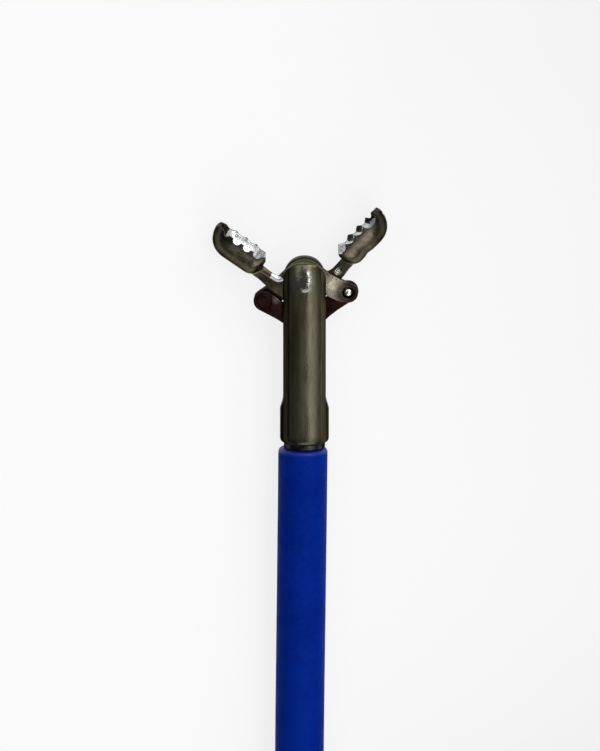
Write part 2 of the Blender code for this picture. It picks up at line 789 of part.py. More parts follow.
def make_boot(parent, look):
    """The strain relief: a ribbed taper with the sheath's socket, the wire's bore and a flange."""
    flange_from = BOOT_LENGTH - BOOT_FLANGE
    taper = flange_from - 2 * MM
    outside = [(BOOT_TIP_R - 0.4 * MM, 0), (BOOT_TIP_R, 0.4 * MM)]
    rib_step = (taper - 6 * MM) / BOOT_RIBS
    for i in range(BOOT_RIBS):
        at = 3 * MM + i * rib_step
        radius = BOOT_TIP_R + (BOOT_BASE_R - BOOT_TIP_R) * at / taper
        outside += [
            (radius, at),
            (radius - BOOT_RIB, at + 0.25 * rib_step),
            (radius - BOOT_RIB, at + 0.45 * rib_step),
            (radius + 0.1 * MM, at + 0.7 * rib_step),
        ]
    outside += [
        (BOOT_BASE_R, taper),
        (BOOT_BASE_R, flange_from),
        (BOOT_FLANGE_R, flange_from),
        (BOOT_FLANGE_R, BOOT_LENGTH),
    ]
    socket_r = SHEATH_R + HANDLE_GAP
    bore = [(TUBE_BORE_R, BOOT_LENGTH), (TUBE_BORE_R, BOOT_SOCKET), (socket_r, BOOT_SOCKET)]
    profile = bore + [(socket_r, 0)] + outside
    boot = turned("boot_shape", list(reversed(profile)), closed=True, steps=20)
    finish("strain_relief", baked(boot), look, parent)


def make_collar(parent, look):
    """The collar that holds the boot's flange against the handle's nose."""
    front = BOOT_LENGTH - BOOT_FLANGE - HANDLE_GAP - COLLAR_LIP
    back = front + COLLAR_LENGTH
    lip_r = BOOT_BASE_R + HANDLE_GAP
    bore_r = BOOT_FLANGE_R + HANDLE_GAP
    edge = 0.5 * MM
    collar = turned(
        "collar_shape",
        [
            (bore_r, back),
            (COLLAR_R - edge, back),
            (COLLAR_R, back - edge),
            (COLLAR_R, front + 2 * edge),
            (COLLAR_R - 2 * edge, front),
            (lip_r, front),
            (lip_r, front + COLLAR_LIP),
            (bore_r, front + COLLAR_LIP),
        ],
        closed=True,
    )
    for i in range(COLLAR_GROOVES):
        angle = math.tau * i / COLLAR_GROOVES
        groove = cylinder(f"collar_groove_{i}", 0.6 * MM, front + 2 * MM, back - MM, steps=8)
        groove.data.transform(Matrix.Rotation(math.pi / 2, 4, "X"))
        middle = front + back + MM
        groove.data.transform(Matrix.Translation((COLLAR_R + 0.25 * MM, middle, 0)))
        groove.data.transform(Matrix.Rotation(angle, 4, "Y"))
        cut(collar, groove)
    finish("lock_collar", baked(collar), look, parent)


def make_stem(parent, look):
    """The slotted stem with its nose, neck and thumb ring, moulded as one piece."""
    nose_from = BOOT_LENGTH + HANDLE_GAP
    shoulder = nose_from + NOSE_SPIGOT + HANDLE_GAP
    end = nose_from + SHAFT_LENGTH
    chamfer = 0.5 * MM
    stem = turned(
        "stem_shaft",
        [
            (0, end),
            (SHAFT_R - chamfer, end),
            (SHAFT_R, end - chamfer),
            (SHAFT_R, shoulder + chamfer),
            (SHAFT_R - chamfer, shoulder),
            (BOOT_FLANGE_R, shoulder),
            (BOOT_FLANGE_R, nose_from),
            (0, nose_from),
        ],
    )
    ring_at = end + RING_R
    section = rounded_box(RING_HOLE_R, -RING_THICK / 2, RING_R, RING_THICK / 2, RING_EDGE, 2)
    section.reverse()
    ring = turned("stem_ring", section, closed=True, steps=36)
    ring.rotation_euler.x = math.pi / 2
    ring.location.y = ring_at
    half = RING_R * 0.62
    side = [
        (SHAFT_R * 0.72, end - 8 * MM),
        (SHAFT_R * 0.92, end - 3 * MM),
        (SHAFT_R * 1.12, end + 0.5 * MM),
        (half, end + 3.4 * MM),
    ]
    neck_loop = side + [(0, ring_at - (RING_R + RING_HOLE_R) / 2)]
    neck_loop += [(-x, y) for x, y in reversed(side)]
    neck = plate("stem_neck", [neck_loop], -RING_THICK / 2 * 0.92, RING_THICK / 2 * 0.92)
    bevelled(neck, 0.9 * MM, 2, 60)
    join(stem, neck)
    join(stem, ring)

    slot_low = SPOOL_START + (SPOOL_LENGTH - KEY_LENGTH) / 2 - HANDLE_GAP
    slot_high = slot_low + KEY_LENGTH + SPOOL_TRAVEL + 2 * HANDLE_GAP
    slot_r = SLOT_WIDTH / 2
    slot = arc(0, slot_high - slot_r + MM, slot_r, 0, 180, 8)
    slot += arc(0, slot_low + slot_r - MM, slot_r, 180, 360, 8)
    cut(stem, plate("stem_slot", [slot], -2 * SHAFT_R, 2 * SHAFT_R))
    bore = turned(
        "stem_bore",
        [
            (0, slot_low + 2 * MM),
            (TUBE_BORE_R, slot_low + 2 * MM),
            (TUBE_BORE_R, nose_from - MM),
            (0, nose_from - MM),
        ],
        steps=SMALL_STEPS,
    )
    cut(stem, bore)
    finish("handle_stem", baked(stem), look, parent)


def spool_body(name):
    """The whole spool, turned, widened, flattened and bored for the stem."""
    waist_from = FLANGE_THICK
    waist_to = SPOOL_LENGTH - FLANGE_THICK
    edge = 1.0 * MM
    round_out = arc(0, 0, edge, 90, 0, 3)
    high = [(FLANGE_R - edge + x, SPOOL_LENGTH - edge + y) for x, y in round_out]
    low = [(x, SPOOL_LENGTH - y) for x, y in reversed(high)]
    rim = FLANGE_R - edge * 0.6
    hollow = [
        (
            rim - (rim - WAIST_R) * math.sin(math.pi * t) ** 0.55,
            waist_to + (waist_from - waist_to) * t,
        )
        for t in (i / 8 for i in range(9))
    ]
    lip_high = [(FLANGE_R, waist_to + edge * 0.5)]
    lip_low = [(FLANGE_R, waist_from - edge * 0.5)]
    profile = [(0, SPOOL_LENGTH), *high, *lip_high, *hollow, *lip_low, *low, (0, 0)]
    body = turned(name, profile)
    body.scale.x = SPOOL_WIDEN
    return body


def make_spool(parent, top_look, bottom_look, screw_look, pin_look):
    """Two halves with keys in the stem's slot, joined by screws and by the clamp's pin."""
    whole = helper("spool_whole", baked(spool_body("spool_shape")))
    far = 2 * FLANGE_R * SPOOL_WIDEN
    half_gap = 0.1 * MM
    bore_r = SHAFT_R + HANDLE_GAP
    place = (0, SPOOL_START, 0)
    middle = SPOOL_LENGTH / 2
    head_low = 1.9 * MM
    screws = [
        (x, middle + y)
        for x in (-SCREW_SPREAD_X, SCREW_SPREAD_X)
        for y in (-SCREW_SPREAD_Y, SCREW_SPREAD_Y)
    ]
    pin_reach = WAIST_R - 1.0 * MM
    for name, sign, look in (("spool_top", 1, top_look), ("spool_bottom", -1, bottom_look)):
        half = helper(f"{name}_shape", whole.data.copy())
        low, high = sorted((sign * half_gap, sign * AXIS_HEIGHT))
        keep(half, box(f"{name}_part", (-far, -far, low), (far, far, high)))
        bore = turned(
            f"{name}_bore",
            [
                (0, 2 * SPOOL_LENGTH),
                (bore_r, 2 * SPOOL_LENGTH),
                (bore_r, -SPOOL_LENGTH),
                (0, -SPOOL_LENGTH),
            ],
        )
        cut(half, bore)
        key_half = SLOT_WIDTH / 2 - HANDLE_GAP
        low, high = sorted((sign * (CLAMP_HALF + HANDLE_GAP), sign * (bore_r + 0.5 * MM)))
        key = box(
            f"{name}_key",
            (-key_half, middle - KEY_LENGTH / 2, low),
            (key_half, middle + KEY_LENGTH / 2, high),
        )
        join(half, key)
        low, high = sorted((0, sign * (pin_reach + HANDLE_GAP)))
        pin_r = SPOOL_PIN_R + TURNING_FIT
        cut(half, cylinder(f"{name}_pin_hole", pin_r, low, high, at=(0, middle)))
        for number, at in enumerate(screws, 1):
            if sign > 0:
                head_r = SCREW_HEAD_R + HANDLE_GAP
                cut(half, cylinder(f"head_hole_{number}", head_r, head_low, far, at=at))
            low, high = sorted((0, sign * (SCREW_DEPTH + HANDLE_GAP)))
            hole_r = SCREW_R + TURNING_FIT
            cut(half, cylinder(f"{name}_screw_hole_{number}", hole_r, low, high, at=at))
        finish(name, baked(half), look, parent, place)
    for number, (x, y) in enumerate(screws, 1):
        make_screw(number, parent, screw_look, (x, SPOOL_START + y, 0), head_low)
    pin = cylinder("spool_pin_shape", SPOOL_PIN_R, -pin_reach, pin_reach)
    finish("spool_pin", baked(pin), pin_look, parent, (0, SPOOL_START + middle, 0))


def make_screw(number, parent, look, place, head_low):
    """A cross-head screw, its head in the top half's counterbore."""
    shank = cylinder(f"screw_{number}_shank", SCREW_R, -SCREW_DEPTH, head_low + 0.3 * MM)
    head = cylinder(
        f"screw_{number}_head", SCREW_HEAD_R, head_low + TURNING_FIT, head_low + SCREW_HEAD
    )
    bevelled(head, 0.25 * MM, 1)
    join(shank, head)
    long_way, short_way = 0.85 * MM, 0.16 * MM
    deep = head_low + SCREW_HEAD - 0.5 * MM
    for way, (x, y) in (("a", (long_way, short_way)), ("b", (short_way, long_way))):
        cut(shank, box(f"screw_{number}_slot_{way}", (-x, -y, deep), (x, y, deep + 2 * SCREW_HEAD)))
    finish(f"spool_screw_{number}", baked(shank), look, parent, place)


def make_pull(parent, tube_look, clamp_look):
    """The pull tube, and the clamp crimped on its end and pinned to the spool."""
    middle = SPOOL_START + SPOOL_LENGTH / 2
    clamp_low = middle - CLAMP_LENGTH + 2 * MM
    clamp = box(
        "clamp_shape", (-CLAMP_HALF, 0, -CLAMP_HALF), (CLAMP_HALF, CLAMP_LENGTH, CLAMP_HALF)
    )
    bevelled(clamp, 0.2 * MM, 2)
    seat = CLAMP_LENGTH - 4 * MM
    bore = turned(
        "clamp_bore",
        [
            (0, seat),
            (TUBE_R + TURNING_FIT, seat),
            (TUBE_R + TURNING_FIT, -MM),
            (0, -MM),
        ],
        steps=SMALL_STEPS,
    )
    cut(clamp, bore)
    at = (0, middle - clamp_low)
    cut(clamp, cylinder("clamp_pin_hole", SPOOL_PIN_R + TURNING_FIT, -MM * 2, MM * 2, at=at))
    finish("wire_clamp", baked(clamp), clamp_look, parent, (0, clamp_low, 0))

    top = seat - TURNING_FIT
    bottom = top - TUBE_LENGTH
    pull = turned(
        "pull_tube_shape",
        [
            (TUBE_R - TUBE_WALL, top),
            (TUBE_R, top),
            (TUBE_R, bottom),
            (TUBE_R - TUBE_WALL, bottom),
        ],
        closed=True,
        steps=SMALL_STEPS,
    )
    finish("pull_tube", baked(pull), tube_look, parent, (0, clamp_low, 0))


def make_head():
    head = empty("head", HEAD_PLACE)
    make_fork(head, material("fork_steel", STEEL, 1.0, 0.28))
    make_rivet(head, material("rivet_steel", STEEL, 1.0, 0.22))
    make_jaws(
        head,
        material("front_jaw_steel", STEEL, 1.0, 0.26),
        material("back_jaw_steel", STEEL, 1.0, 0.26),
    )
    make_links(
        head,
        material("left_link_steel", DARK_STEEL, 1.0, 0.35),
        material("right_link_steel", DARK_STEEL, 1.0, 0.35),
    )
    make_rod(
        head,
        material("rod_steel", BRIGHT_STEEL, 1.0, 0.3),
        material("rod_pin_steel", BRIGHT_STEEL, 1.0, 0.3),
    )
    make_ferrule(head, material("ferrule_steel", STEEL, 1.0, 0.3))


def make_handle():
    handle = empty("handle", (0, HANDLE_START_Y, AXIS_HEIGHT))
    make_boot(handle, material("boot_rubber", GREY, 0.0, 0.55))
    make_collar(handle, material("collar_plastic", GREY, 0.0, 0.4))
    make_stem(handle, material("stem_plastic", PALE, 0.0, 0.38))
    make_spool(
        handle,
        material("spool_top_plastic", BLUE, 0.0, 0.35),
        material("spool_bottom_plastic", BLUE, 0.0, 0.35),
        material("screw_steel", BRIGHT_STEEL, 1.0, 0.3),
        material("spool_pin_steel", BRIGHT_STEEL, 1.0, 0.3),
    )
    make_pull(
        handle,
        material("pull_tube_steel", BRIGHT_STEEL, 1.0, 0.25),
        material("clamp_steel", BRIGHT_STEEL, 1.0, 0.35),
    )


clear_scene()
parts = new_collection("biopsy_forceps")
cutters = new_collection("cutters")
cutters.hide_render = True
make_head()
make_sheath(material("sheath_plastic", BLUE, 0.0, 0.32))
make_ties(material("tie_fabric", GREY, 0.0, 0.8))
make_handle()
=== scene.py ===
"""The dressed model of the biopsy forceps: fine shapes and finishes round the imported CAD.

Shapes are made in millimetres, and piece() scales them to metres and puts them in their
places. Most of the head's have their origin on the jaws' hinge, and most of the handle's at
the tip of the boot.
"""

import math

import bmesh
import bpy
from mathutils import Matrix, Vector


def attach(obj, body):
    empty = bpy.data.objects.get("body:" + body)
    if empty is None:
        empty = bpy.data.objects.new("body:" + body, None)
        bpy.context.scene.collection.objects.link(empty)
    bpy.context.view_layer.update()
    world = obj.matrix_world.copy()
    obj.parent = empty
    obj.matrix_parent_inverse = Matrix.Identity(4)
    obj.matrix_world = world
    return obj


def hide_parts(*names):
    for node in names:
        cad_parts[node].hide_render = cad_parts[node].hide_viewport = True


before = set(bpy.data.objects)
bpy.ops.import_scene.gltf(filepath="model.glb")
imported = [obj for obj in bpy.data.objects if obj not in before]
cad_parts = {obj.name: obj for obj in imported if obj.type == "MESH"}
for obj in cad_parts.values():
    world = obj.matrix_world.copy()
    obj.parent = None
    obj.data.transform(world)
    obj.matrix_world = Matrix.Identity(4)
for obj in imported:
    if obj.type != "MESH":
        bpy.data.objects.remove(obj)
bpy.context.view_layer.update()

MM = 0.001
HEAD = Vector((-24.0, -21.2, 1.21))
HANDLE = Vector((0, -35.2, 8.0))

# Head, as in the CAD, in millimetres
BAR_R = 1.14
STRIP_R = 1.20
STRIP_LEFT, STRIP_RIGHT = -0.68, 0.80
FLATS_HALF = 0.99
DOME_ROUND = 0.26
FLATS_END, FLATS_RUNOUT = -5.5, 0.85
FORK_BOTTOM = -7.62
SLOT_BOTTOM, SLOT_HALF = -5.05, 0.38
RIVET_R = 0.39
PLATE_IN, PLATE_OUT = 0.03, 0.36
CUP_DEPTH, CUP_FLATTEN, CUP_WALL = 1.25, 0.9, 0.2
CUP_HEEL, CUP_TIP, CUP_NOSE = 1.97, 4.81, 1.15
HUB_R, EYE_R, STUD_R = 0.84, 0.46, 0.25
EYE_ARM, EYE_ANGLE = 2.10, math.radians(-71)
FRONT_OPEN, BACK_OPEN = math.radians(55.5), math.radians(44.5)
EYE = (EYE_ARM * math.cos(EYE_ANGLE), EYE_ARM * math.sin(EYE_ANGLE), 0)
LINK_LENGTH, LINK_THICK = 2.36, 0.25
LINK_HOLE_R, ROD_PIN_Y = 0.38, -2.15
ROD_BORE_R = 0.38
FERRULE_TOP, FERRULE_NECK_R = -7.12, 0.78
FIT = 0.02
SHEATH_R = 1.15

# Rims of the cups: X of their edges and teeth, and Y along them
RIM_X, TOOTH_X, SCALLOP_X = -0.03, -0.09, -0.11
NOSE_RIM = [(-0.02, 4.73), (-0.02, 6)]
SCALLOPS = ((2.55, 0.195), (3.115, 0.195), (3.68, 0.195), (4.245, 0.13))
WAVES, WAVES_END = [2.0, 2.64, 3.205, 3.77], 4.5
TOOTH, TOOTH_STEP = 2.78, 0.58
LAST_TOOTH = TOOTH + 2 * TOOTH_STEP

# Coil of the sheath
COIL_MEAN = 15.5
OUTER_TURN, INNER_TURN = COIL_MEAN + 3 * SHEATH_R, COIL_MEAN - 3 * SHEATH_R
COIL_LOW = 0.65
COIL = Vector((HEAD.x - 0.30 + OUTER_TURN, HEAD.y - 43.5, COIL_LOW))
COIL_TOP = 8 * SHEATH_R
COIL_CLEAR = 9.966
COIL_LEAVE = 40
COIL_TURNS = 15.5 + COIL_LEAVE / 360
CORD_GAP = 0.3
TIE_HALF, TIE_THICK = 2.5, 0.35

# Handle, as in the CAD. The spool's key, pin and screws are along Y from SPOOL_AT
TUBE_BORE_R = 1.05
SPOOL_AT, SPOOL_TRAVEL = 33.5, 10
KEY_LOW, KEY_HIGH, KEY_HALF = 8.0, 17.0, 1.25
SLIDE_GAP = 0.25
PIN_Y, PIN_R, PIN_HOLE_R = 12.5, 0.75, 0.77
SCREWS = [(x, PIN_Y + y) for x in (-8.0, 8.0) for y in (-6.5, 6.5)]
SCREW_R, SCREW_HEAD_R, SCREW_HEAD_LOW = 0.9, 1.5, 1.9

# Lamps, in metres: a direction from the head, a width, a height and a radiance
WORLD_LIGHT = 0.09
LAMP_AWAY = 0.6
LAMPS = {
    "key": ((0.58, -0.20, 0.79), 0.38, 0.44, 0.54),
    "side": ((0.90, -0.20, 0.38), 0.30, 0.30, 0.20),
    "glint": ((0.37, 0.04, 0.92), 0.09, 0.15, 7.5),
    "line": ((0.26, 0.36, 0.90), 0.36, 0.05, 5.0),
    "north_east": ((0.58, 0.60, 0.52), 0.42, 0.36, 3.0),
    "north_west": ((-0.50, 0.36, 0.78), 0.24, 0.32, 1.1),
    "north": ((0.05, 0.76, 0.65), 0.56, 0.30, 1.0),
    "south": ((0.20, -0.78, 0.60), 0.64, 0.60, 1.6),
}

# Camera, in millimetres from the head
CAMERA_TILT, CAMERA_FIELD = math.radians(11.5), math.radians(7.983)
CAMERA_AIM, CAMERA_AWAY = Vector((-0.208, -4.526, 0)), 250


# Shapes


def linked(name, mesh):
    made = bpy.data.objects.new(name, mesh)
    bpy.context.scene.collection.objects.link(made)
    return made


def from_work(name, work):
    bmesh.ops.recalc_face_normals(work, faces=work.faces)
    mesh = bpy.data.meshes.new(name)
    work.to_mesh(mesh)
    work.free()
    return linked(name, mesh)


def applied(made):
    """The object with its modifiers made real."""
    bpy.context.view_layer.update()
    graph = bpy.context.evaluated_depsgraph_get()
    mesh = bpy.data.meshes.new_from_object(made.evaluated_get(graph))
    made.modifiers.clear()
    made.data = mesh
    return made


def boolean(made, operation, *others):
    for other in others:
        step = made.modifiers.new("step", "BOOLEAN")
        step.operation = operation
        step.solver = "EXACT"
        step.object = other
    applied(made)
    for other in others:
        bpy.data.objects.remove(other)
    return made


def bevelled(made, width, segments=3, angle=30):
    step = made.modifiers.new("edge", "BEVEL")
    step.width = width
    step.segments = segments
    step.limit_method = "ANGLE"
    step.angle_limit = math.radians(angle)
    return applied(made)


def melted(made, voxel, rounds):
    """The object in small even faces, smoothed so that its edges are round."""
    step = made.modifiers.new("even", "REMESH")
    step.mode = "VOXEL"
    step.voxel_size = voxel
    soft = made.modifiers.new("soft", "SMOOTH")
    soft.factor = 0.5
    soft.iterations = rounds
    return applied(made)


def arc(x, y, radius, start, end, count):
    """Points on a circle, from start to end in degrees."""
    turns = [math.radians(start + (end - start) * i / count) for i in range(count + 1)]
    return [(x + radius * math.cos(a), y + radius * math.sin(a)) for a in turns]


def filleted(points, radius, closed=False, count=5):
    """A polyline with its corners rounded."""
    given = [Vector(p) for p in points]
    total = len(given)
    found = []
    for i, corner in enumerate(given):
        if not closed and i in (0, total - 1):
            found.append(tuple(corner))
            continue
        back = given[i - 1] - corner
        ahead = given[(i + 1) % total] - corner
        open_angle = back.angle(ahead)
        if open_angle > math.radians(172):
            found.append(tuple(corner))
            continue
        reach = min(radius / math.tan(open_angle / 2), 0.48 * back.length, 0.48 * ahead.length)
        a, b = corner + back.normalized() * reach, corner + ahead.normalized() * reach
        for k in range(count + 1):
            t = k / count
            found.append(tuple(a * (1 - t) ** 2 + corner * 2 * t * (1 - t) + b * t**2))
    return found


def turned(name, profile, steps=96, closed=False):
    """A profile of (radius, along) turned about Y."""
    work = bmesh.new()
    rings = []
    for radius, along in profile:
        if radius < 1e-5:
            rings.append([work.verts.new((0, along, 0))] * steps)
            continue
        turns = [math.tau * i / steps for i in range(steps)]
        rings.append(
            [work.verts.new((radius * math.cos(a), along, radius * math.sin(a))) for a in turns]
        )
    pairs = list(zip(rings, rings[1:]))
    if closed:
        pairs.append((rings[-1], rings[0]))
    for low, high in pairs:
        for i in range(steps):
            j = (i + 1) % steps
            corners = list(dict.fromkeys((low[i], low[j], high[j], high[i])))
            if len(corners) > 2:
                work.faces.new(corners)
    return from_work(name, work)


def plate(name, loops, low, high):
    """Flat outlines in XY, filled and extruded from low to high. Inner outlines are holes."""
    curve = bpy.data.curves.new(name, "CURVE")
    curve.dimensions = "2D"
    curve.fill_mode = "BOTH"
    curve.extrude = (high - low) / 2
    for loop in loops:
        spline = curve.splines.new("POLY")
        spline.points.add(len(loop) - 1)
        spline.use_cyclic_u = True
        for point, (x, y) in zip(spline.points, loop):
            point.co = (x, y, 0, 1)
    drawn = bpy.data.objects.new(name, curve)
    mesh = bpy.data.meshes.new_from_object(drawn)
    bpy.data.objects.remove(drawn)
    work = bmesh.new()
    work.from_mesh(mesh)
    bmesh.ops.remove_doubles(work, verts=work.verts, dist=0.0001)
    bmesh.ops.translate(work, verts=work.verts, vec=(0, 0, (low + high) / 2))
    return from_work(name, work)


def cylinder(name, radius, low, high, at=(0, 0), steps=64):
    """An upright cylinder along Z."""
    work = bmesh.new()
    bmesh.ops.create_cone(
        work, cap_ends=True, segments=steps, radius1=radius, radius2=radius, depth=high - low
    )
    bmesh.ops.translate(work, verts=work.verts, vec=(at[0], at[1], (low + high) / 2))
    return from_work(name, work)


def box(name, low, high):
    low, high = Vector(low), Vector(high)
    work = bmesh.new()
    bmesh.ops.create_cube(work, size=1)
    bmesh.ops.scale(work, verts=work.verts, vec=high - low)
    bmesh.ops.translate(work, verts=work.verts, vec=(low + high) / 2)
    return from_work(name, work)


def between(a, b, c, d, t):
    """A point of the smooth curve that runs from b to c."""
    return (
        b * 2 + (c - a) * t + (a * 2 - b * 5 + c * 4 - d) * t**2 + (b * 3 - a - c * 3 + d) * t**3
    ) / 2


def smooth_loop(points, count):
    """A closed smooth curve through the points."""
    given = [Vector(p) for p in points]
    found = []
    for i in range(len(given)):
        a, b, c, d = (given[(i + k - 1) % len(given)] for k in range(4))
        found += [tuple(between(a, b, c, d, j / count)) for j in range(count)]
    return found


def smooth_route(points, count):
    """An open smooth curve through the points."""
    given = [Vector(p) for p in points]
    given = [given[0] * 2 - given[1], *given, given[-1] * 2 - given[-2]]
    found = []
    for i in range(1, len(given) - 2):
        found += [between(*given[i - 1 : i + 3], j / count) for j in range(count)]
    return [*found, given[-2]]


# Finishes


class Look:
    """A Principled material whose nodes are added by short calls."""

    def __init__(self, name, colour, metallic, roughness, **more):
        self.made = bpy.data.materials.new(name)
        self.made.use_nodes = True
        self.nodes = self.made.node_tree.nodes
        self.links = self.made.node_tree.links
        self.shader = self.nodes["Principled BSDF"]
        self.shader.inputs["Base Color"].default_value = (*colour, 1)
        self.shader.inputs["Metallic"].default_value = metallic
        self.shader.inputs["Roughness"].default_value = roughness
        for key, value in more.items():
            self.shader.inputs[key.replace("_", " ")].default_value = value
        self.coordinates = self.nodes.new("ShaderNodeTexCoord").outputs["Object"]

    def node(self, kind, sockets=None, **settings):
        made = self.nodes.new("ShaderNode" + kind)
        for key, value in settings.items():
            setattr(made, key, value)
        for key, value in (sockets or {}).items():
            if isinstance(value, bpy.types.NodeSocket):
                self.links.new(value, made.inputs[key])
            else:
                made.inputs[key].default_value = value
        return made

    def noise(self, per_mm, detail=4.0, stretch=(1, 1, 1), seed=0.0, rough=0.5):
        """Noise with so many features to a millimetre, drawn out along an axis by stretch."""
        scale = [per_mm / MM / s for s in stretch]
        place = self.node(
            "Mapping",
            {"Vector": self.coordinates, "Scale": scale, "Location": (seed, seed * 0.7, -seed)},
        )
        sockets = {"Vector": place.outputs[0], "Scale": 1.0, "Detail": detail, "Roughness": rough}
        return self.node("TexNoise", sockets).outputs["Fac"]

    def near(self, place, inner, outer, flat=True):
        """1 within the inner distance of a place, in millimetres, and 0 beyond the outer.

        The distance is taken in the plane of X and Y where it is flat.
        """
        at = [c * MM for c in place]
        away = self.vector("SUBTRACT", {0: self.coordinates, 1: at}).outputs[0]
        if flat:
            away = self.vector("MULTIPLY", {0: away, 1: (1, 1, 0)}).outputs[0]
        far = self.vector("LENGTH", {0: away}).outputs["Value"]
        return self.ranged(far, inner * MM, outer * MM, 1, 0)

    def axis(self, name):
        """One coordinate, in metres."""
        return self.node("SeparateXYZ", {0: self.coordinates}).outputs[name]

    def ranged(self, value, low, high, to_low, to_high):
        sockets = {0: value, 1: low, 2: high, 3: to_low, 4: to_high}
        return self.node("MapRange", sockets, interpolation_type="SMOOTHSTEP").outputs[0]

    def along(self, name, low, high, to_low, to_high):
        """A value that changes between two places along an axis, in millimetres."""
        return self.ranged(self.axis(name), low * MM, high * MM, to_low, to_high)

    def vector(self, operation, sockets):
        return self.node("VectorMath", sockets, operation=operation)

    def math(self, operation, a, b):
        return self.node("Math", {0: a, 1: b}, operation=operation).outputs[0]

    def times(self, a, b):
        return self.math("MULTIPLY", a, b)

    def mix(self, factor, a, b):
        made = self.node("Mix", data_type="RGBA")
        for index, value in ((0, factor), (6, a), (7, b)):
            if isinstance(value, bpy.types.NodeSocket):
                self.links.new(value, made.inputs[index])
            elif index == 0:
                made.inputs[index].default_value = value
            else:
                made.inputs[index].default_value = (*value, 1)
        return made.outputs[2]

    def bump(self, height, distance, onto=None):
        """Relief of a depth in millimetres, over a normal that is there already."""
        sockets = {"Height": height, "Distance": distance * MM, "Strength": 1.0}
        if onto is not None:
            sockets["Normal"] = onto
        return self.node("Bump", sockets).outputs[0]

    def set(self, **sockets):
        """Links values to the shader's sockets."""
        for key, value in sockets.items():
            self.links.new(value, self.shader.inputs[key.replace("_", " ")])
        return self


def painted_strip_shade(look):
    """How much painted shade darkens the fork beside its strip and at its foot."""
    left = look.along("X", STRIP_LEFT - 0.03, STRIP_LEFT, 1, 0)
    right = look.along("X", STRIP_RIGHT, STRIP_RIGHT + 0.03, 0, 1)
    side = look.math("MAXIMUM", left, look.times(right, 0.7))
    foot = look.along("Y", FORK_BOTTOM + 0.02, FORK_BOTTOM + 0.5, 1, 0)
    return look.times(look.math("MAXIMUM", side, look.times(foot, 0.75)), 0.9)


def painted_rim_shade(look):
    """How much painted shade darkens a cup near its rim."""
    return look.times(look.along("X", -0.55, -0.28, 0, 0.8), look.along("Y", 2.0, 2.4, 0, 1))


def steel(
    name, dark, light, roughness=(0.2, 0.36), seed=0.0, streak=(1, 1, 1), relief=0.006, swell=5.0,
    strip=False, peened=0.0, painted_light_and_shade=(), rim=False, crown=None, metallic=1.0,
):
    """Darkened steel: blotches of two tints, uneven polish and a fine grain.

    Relief is the grain's depth, and wider waves are so many times deeper by swell. Peened
    steel is hammered, to that depth, and smoother round the rivet, where a painted highlight
    makes it brighter. Strip and rim add painted shade beside the fork's strip and near a cup's
    rim. Each spot of painted light or shade is a place, an inner and an outer distance, a share
    and a colour. Its distance is flat where its place lies at height 0. The surface falls away
    from a crown.
    """
    tint = 0.3 if max(light) < 0.3 else 0.8
    look = Look(name, light, metallic, sum(roughness) / 2, Specular_Tint=(tint, tint, tint, 1))
    blotch = look.noise(1.1, 5, streak, seed, 0.6)
    fine = look.noise(5.0, 4, streak, seed + 3, 0.6)
    cloud = look.math("ADD", look.times(blotch, 0.65), look.times(fine, 0.35))
    colour = look.mix(look.ranged(cloud, 0.38, 0.62, 0, 1), dark, light)
    # Painted shade beside the fork's strip and at its foot.
    if strip:
        colour = look.mix(painted_strip_shade(look), colour, [c * 0.1 for c in dark])
    # Painted shade near a cup's rim.
    if rim:
        colour = look.mix(painted_rim_shade(look), colour, (0.035, 0.032, 0.026))
    # Painted light and shade: each spot makes the colour lighter or darker round a place.
    for place, inner, outer, share, tone in painted_light_and_shade:
        close = look.near(place, inner, outer, flat=place[2] == 0)
        colour = look.mix(look.times(close, share), colour, tone)
    polish = look.ranged(look.noise(2.6, 4, streak, seed + 7), 0.35, 0.65, *roughness)
    normal = look.bump(look.noise(14, 3, streak, seed + 11), relief)
    normal = look.bump(look.noise(1.6, 2, streak, seed + 13), relief * swell, normal)
    if crown:
        normal = look.bump(look.near(crown, 0.2, 1.6), 0.19, normal)
    # The hammered relief and the smoother polish are real; the paler colour round the rivet is a
    # painted highlight.
    if peened:
        peen_and_painted_glint = look.near((-0.03, 0.12, 0), 0.25, 0.75)
        marks = look.times(look.noise(2.2, 3, (1, 1.3, 1), seed + 19, 0.5), peen_and_painted_glint)
        normal = look.bump(marks, peened, normal)
        colour = look.mix(look.times(peen_and_painted_glint, 0.7), colour, (0.36, 0.365, 0.325))
        polish = look.times(polish, look.ranged(peen_and_painted_glint, 0, 1, 1, 0.6))
    return look.set(Base_Color=colour, Roughness=polish, Normal=normal)


def plastic(name, colour, roughness, grain, depth, seed=0.0, shift=0.12):
    """Moulded plastic: a fine grain, an uneven gloss and a little change of tone."""
    look = Look(name, colour, 0.0, roughness)
    cloud = look.noise(0.25, 4, (1, 1, 1), seed)
    low = [c * (1 - shift) for c in colour]
    high = [min(c * (1 + shift), 1) for c in colour]
    tone = look.mix(look.ranged(cloud, 0.35, 0.65, 0, 1), low, high)
    sheen = look.noise(0.8, 3, (1, 1, 1), seed + 5)
    gloss = look.ranged(sheen, 0.3, 0.7, roughness - 0.05, roughness + 0.07)
    normal = look.bump(look.noise(grain, 2, (1, 1, 1), seed), depth)
    return look.set(Base_Color=tone, Roughness=gloss, Normal=normal)


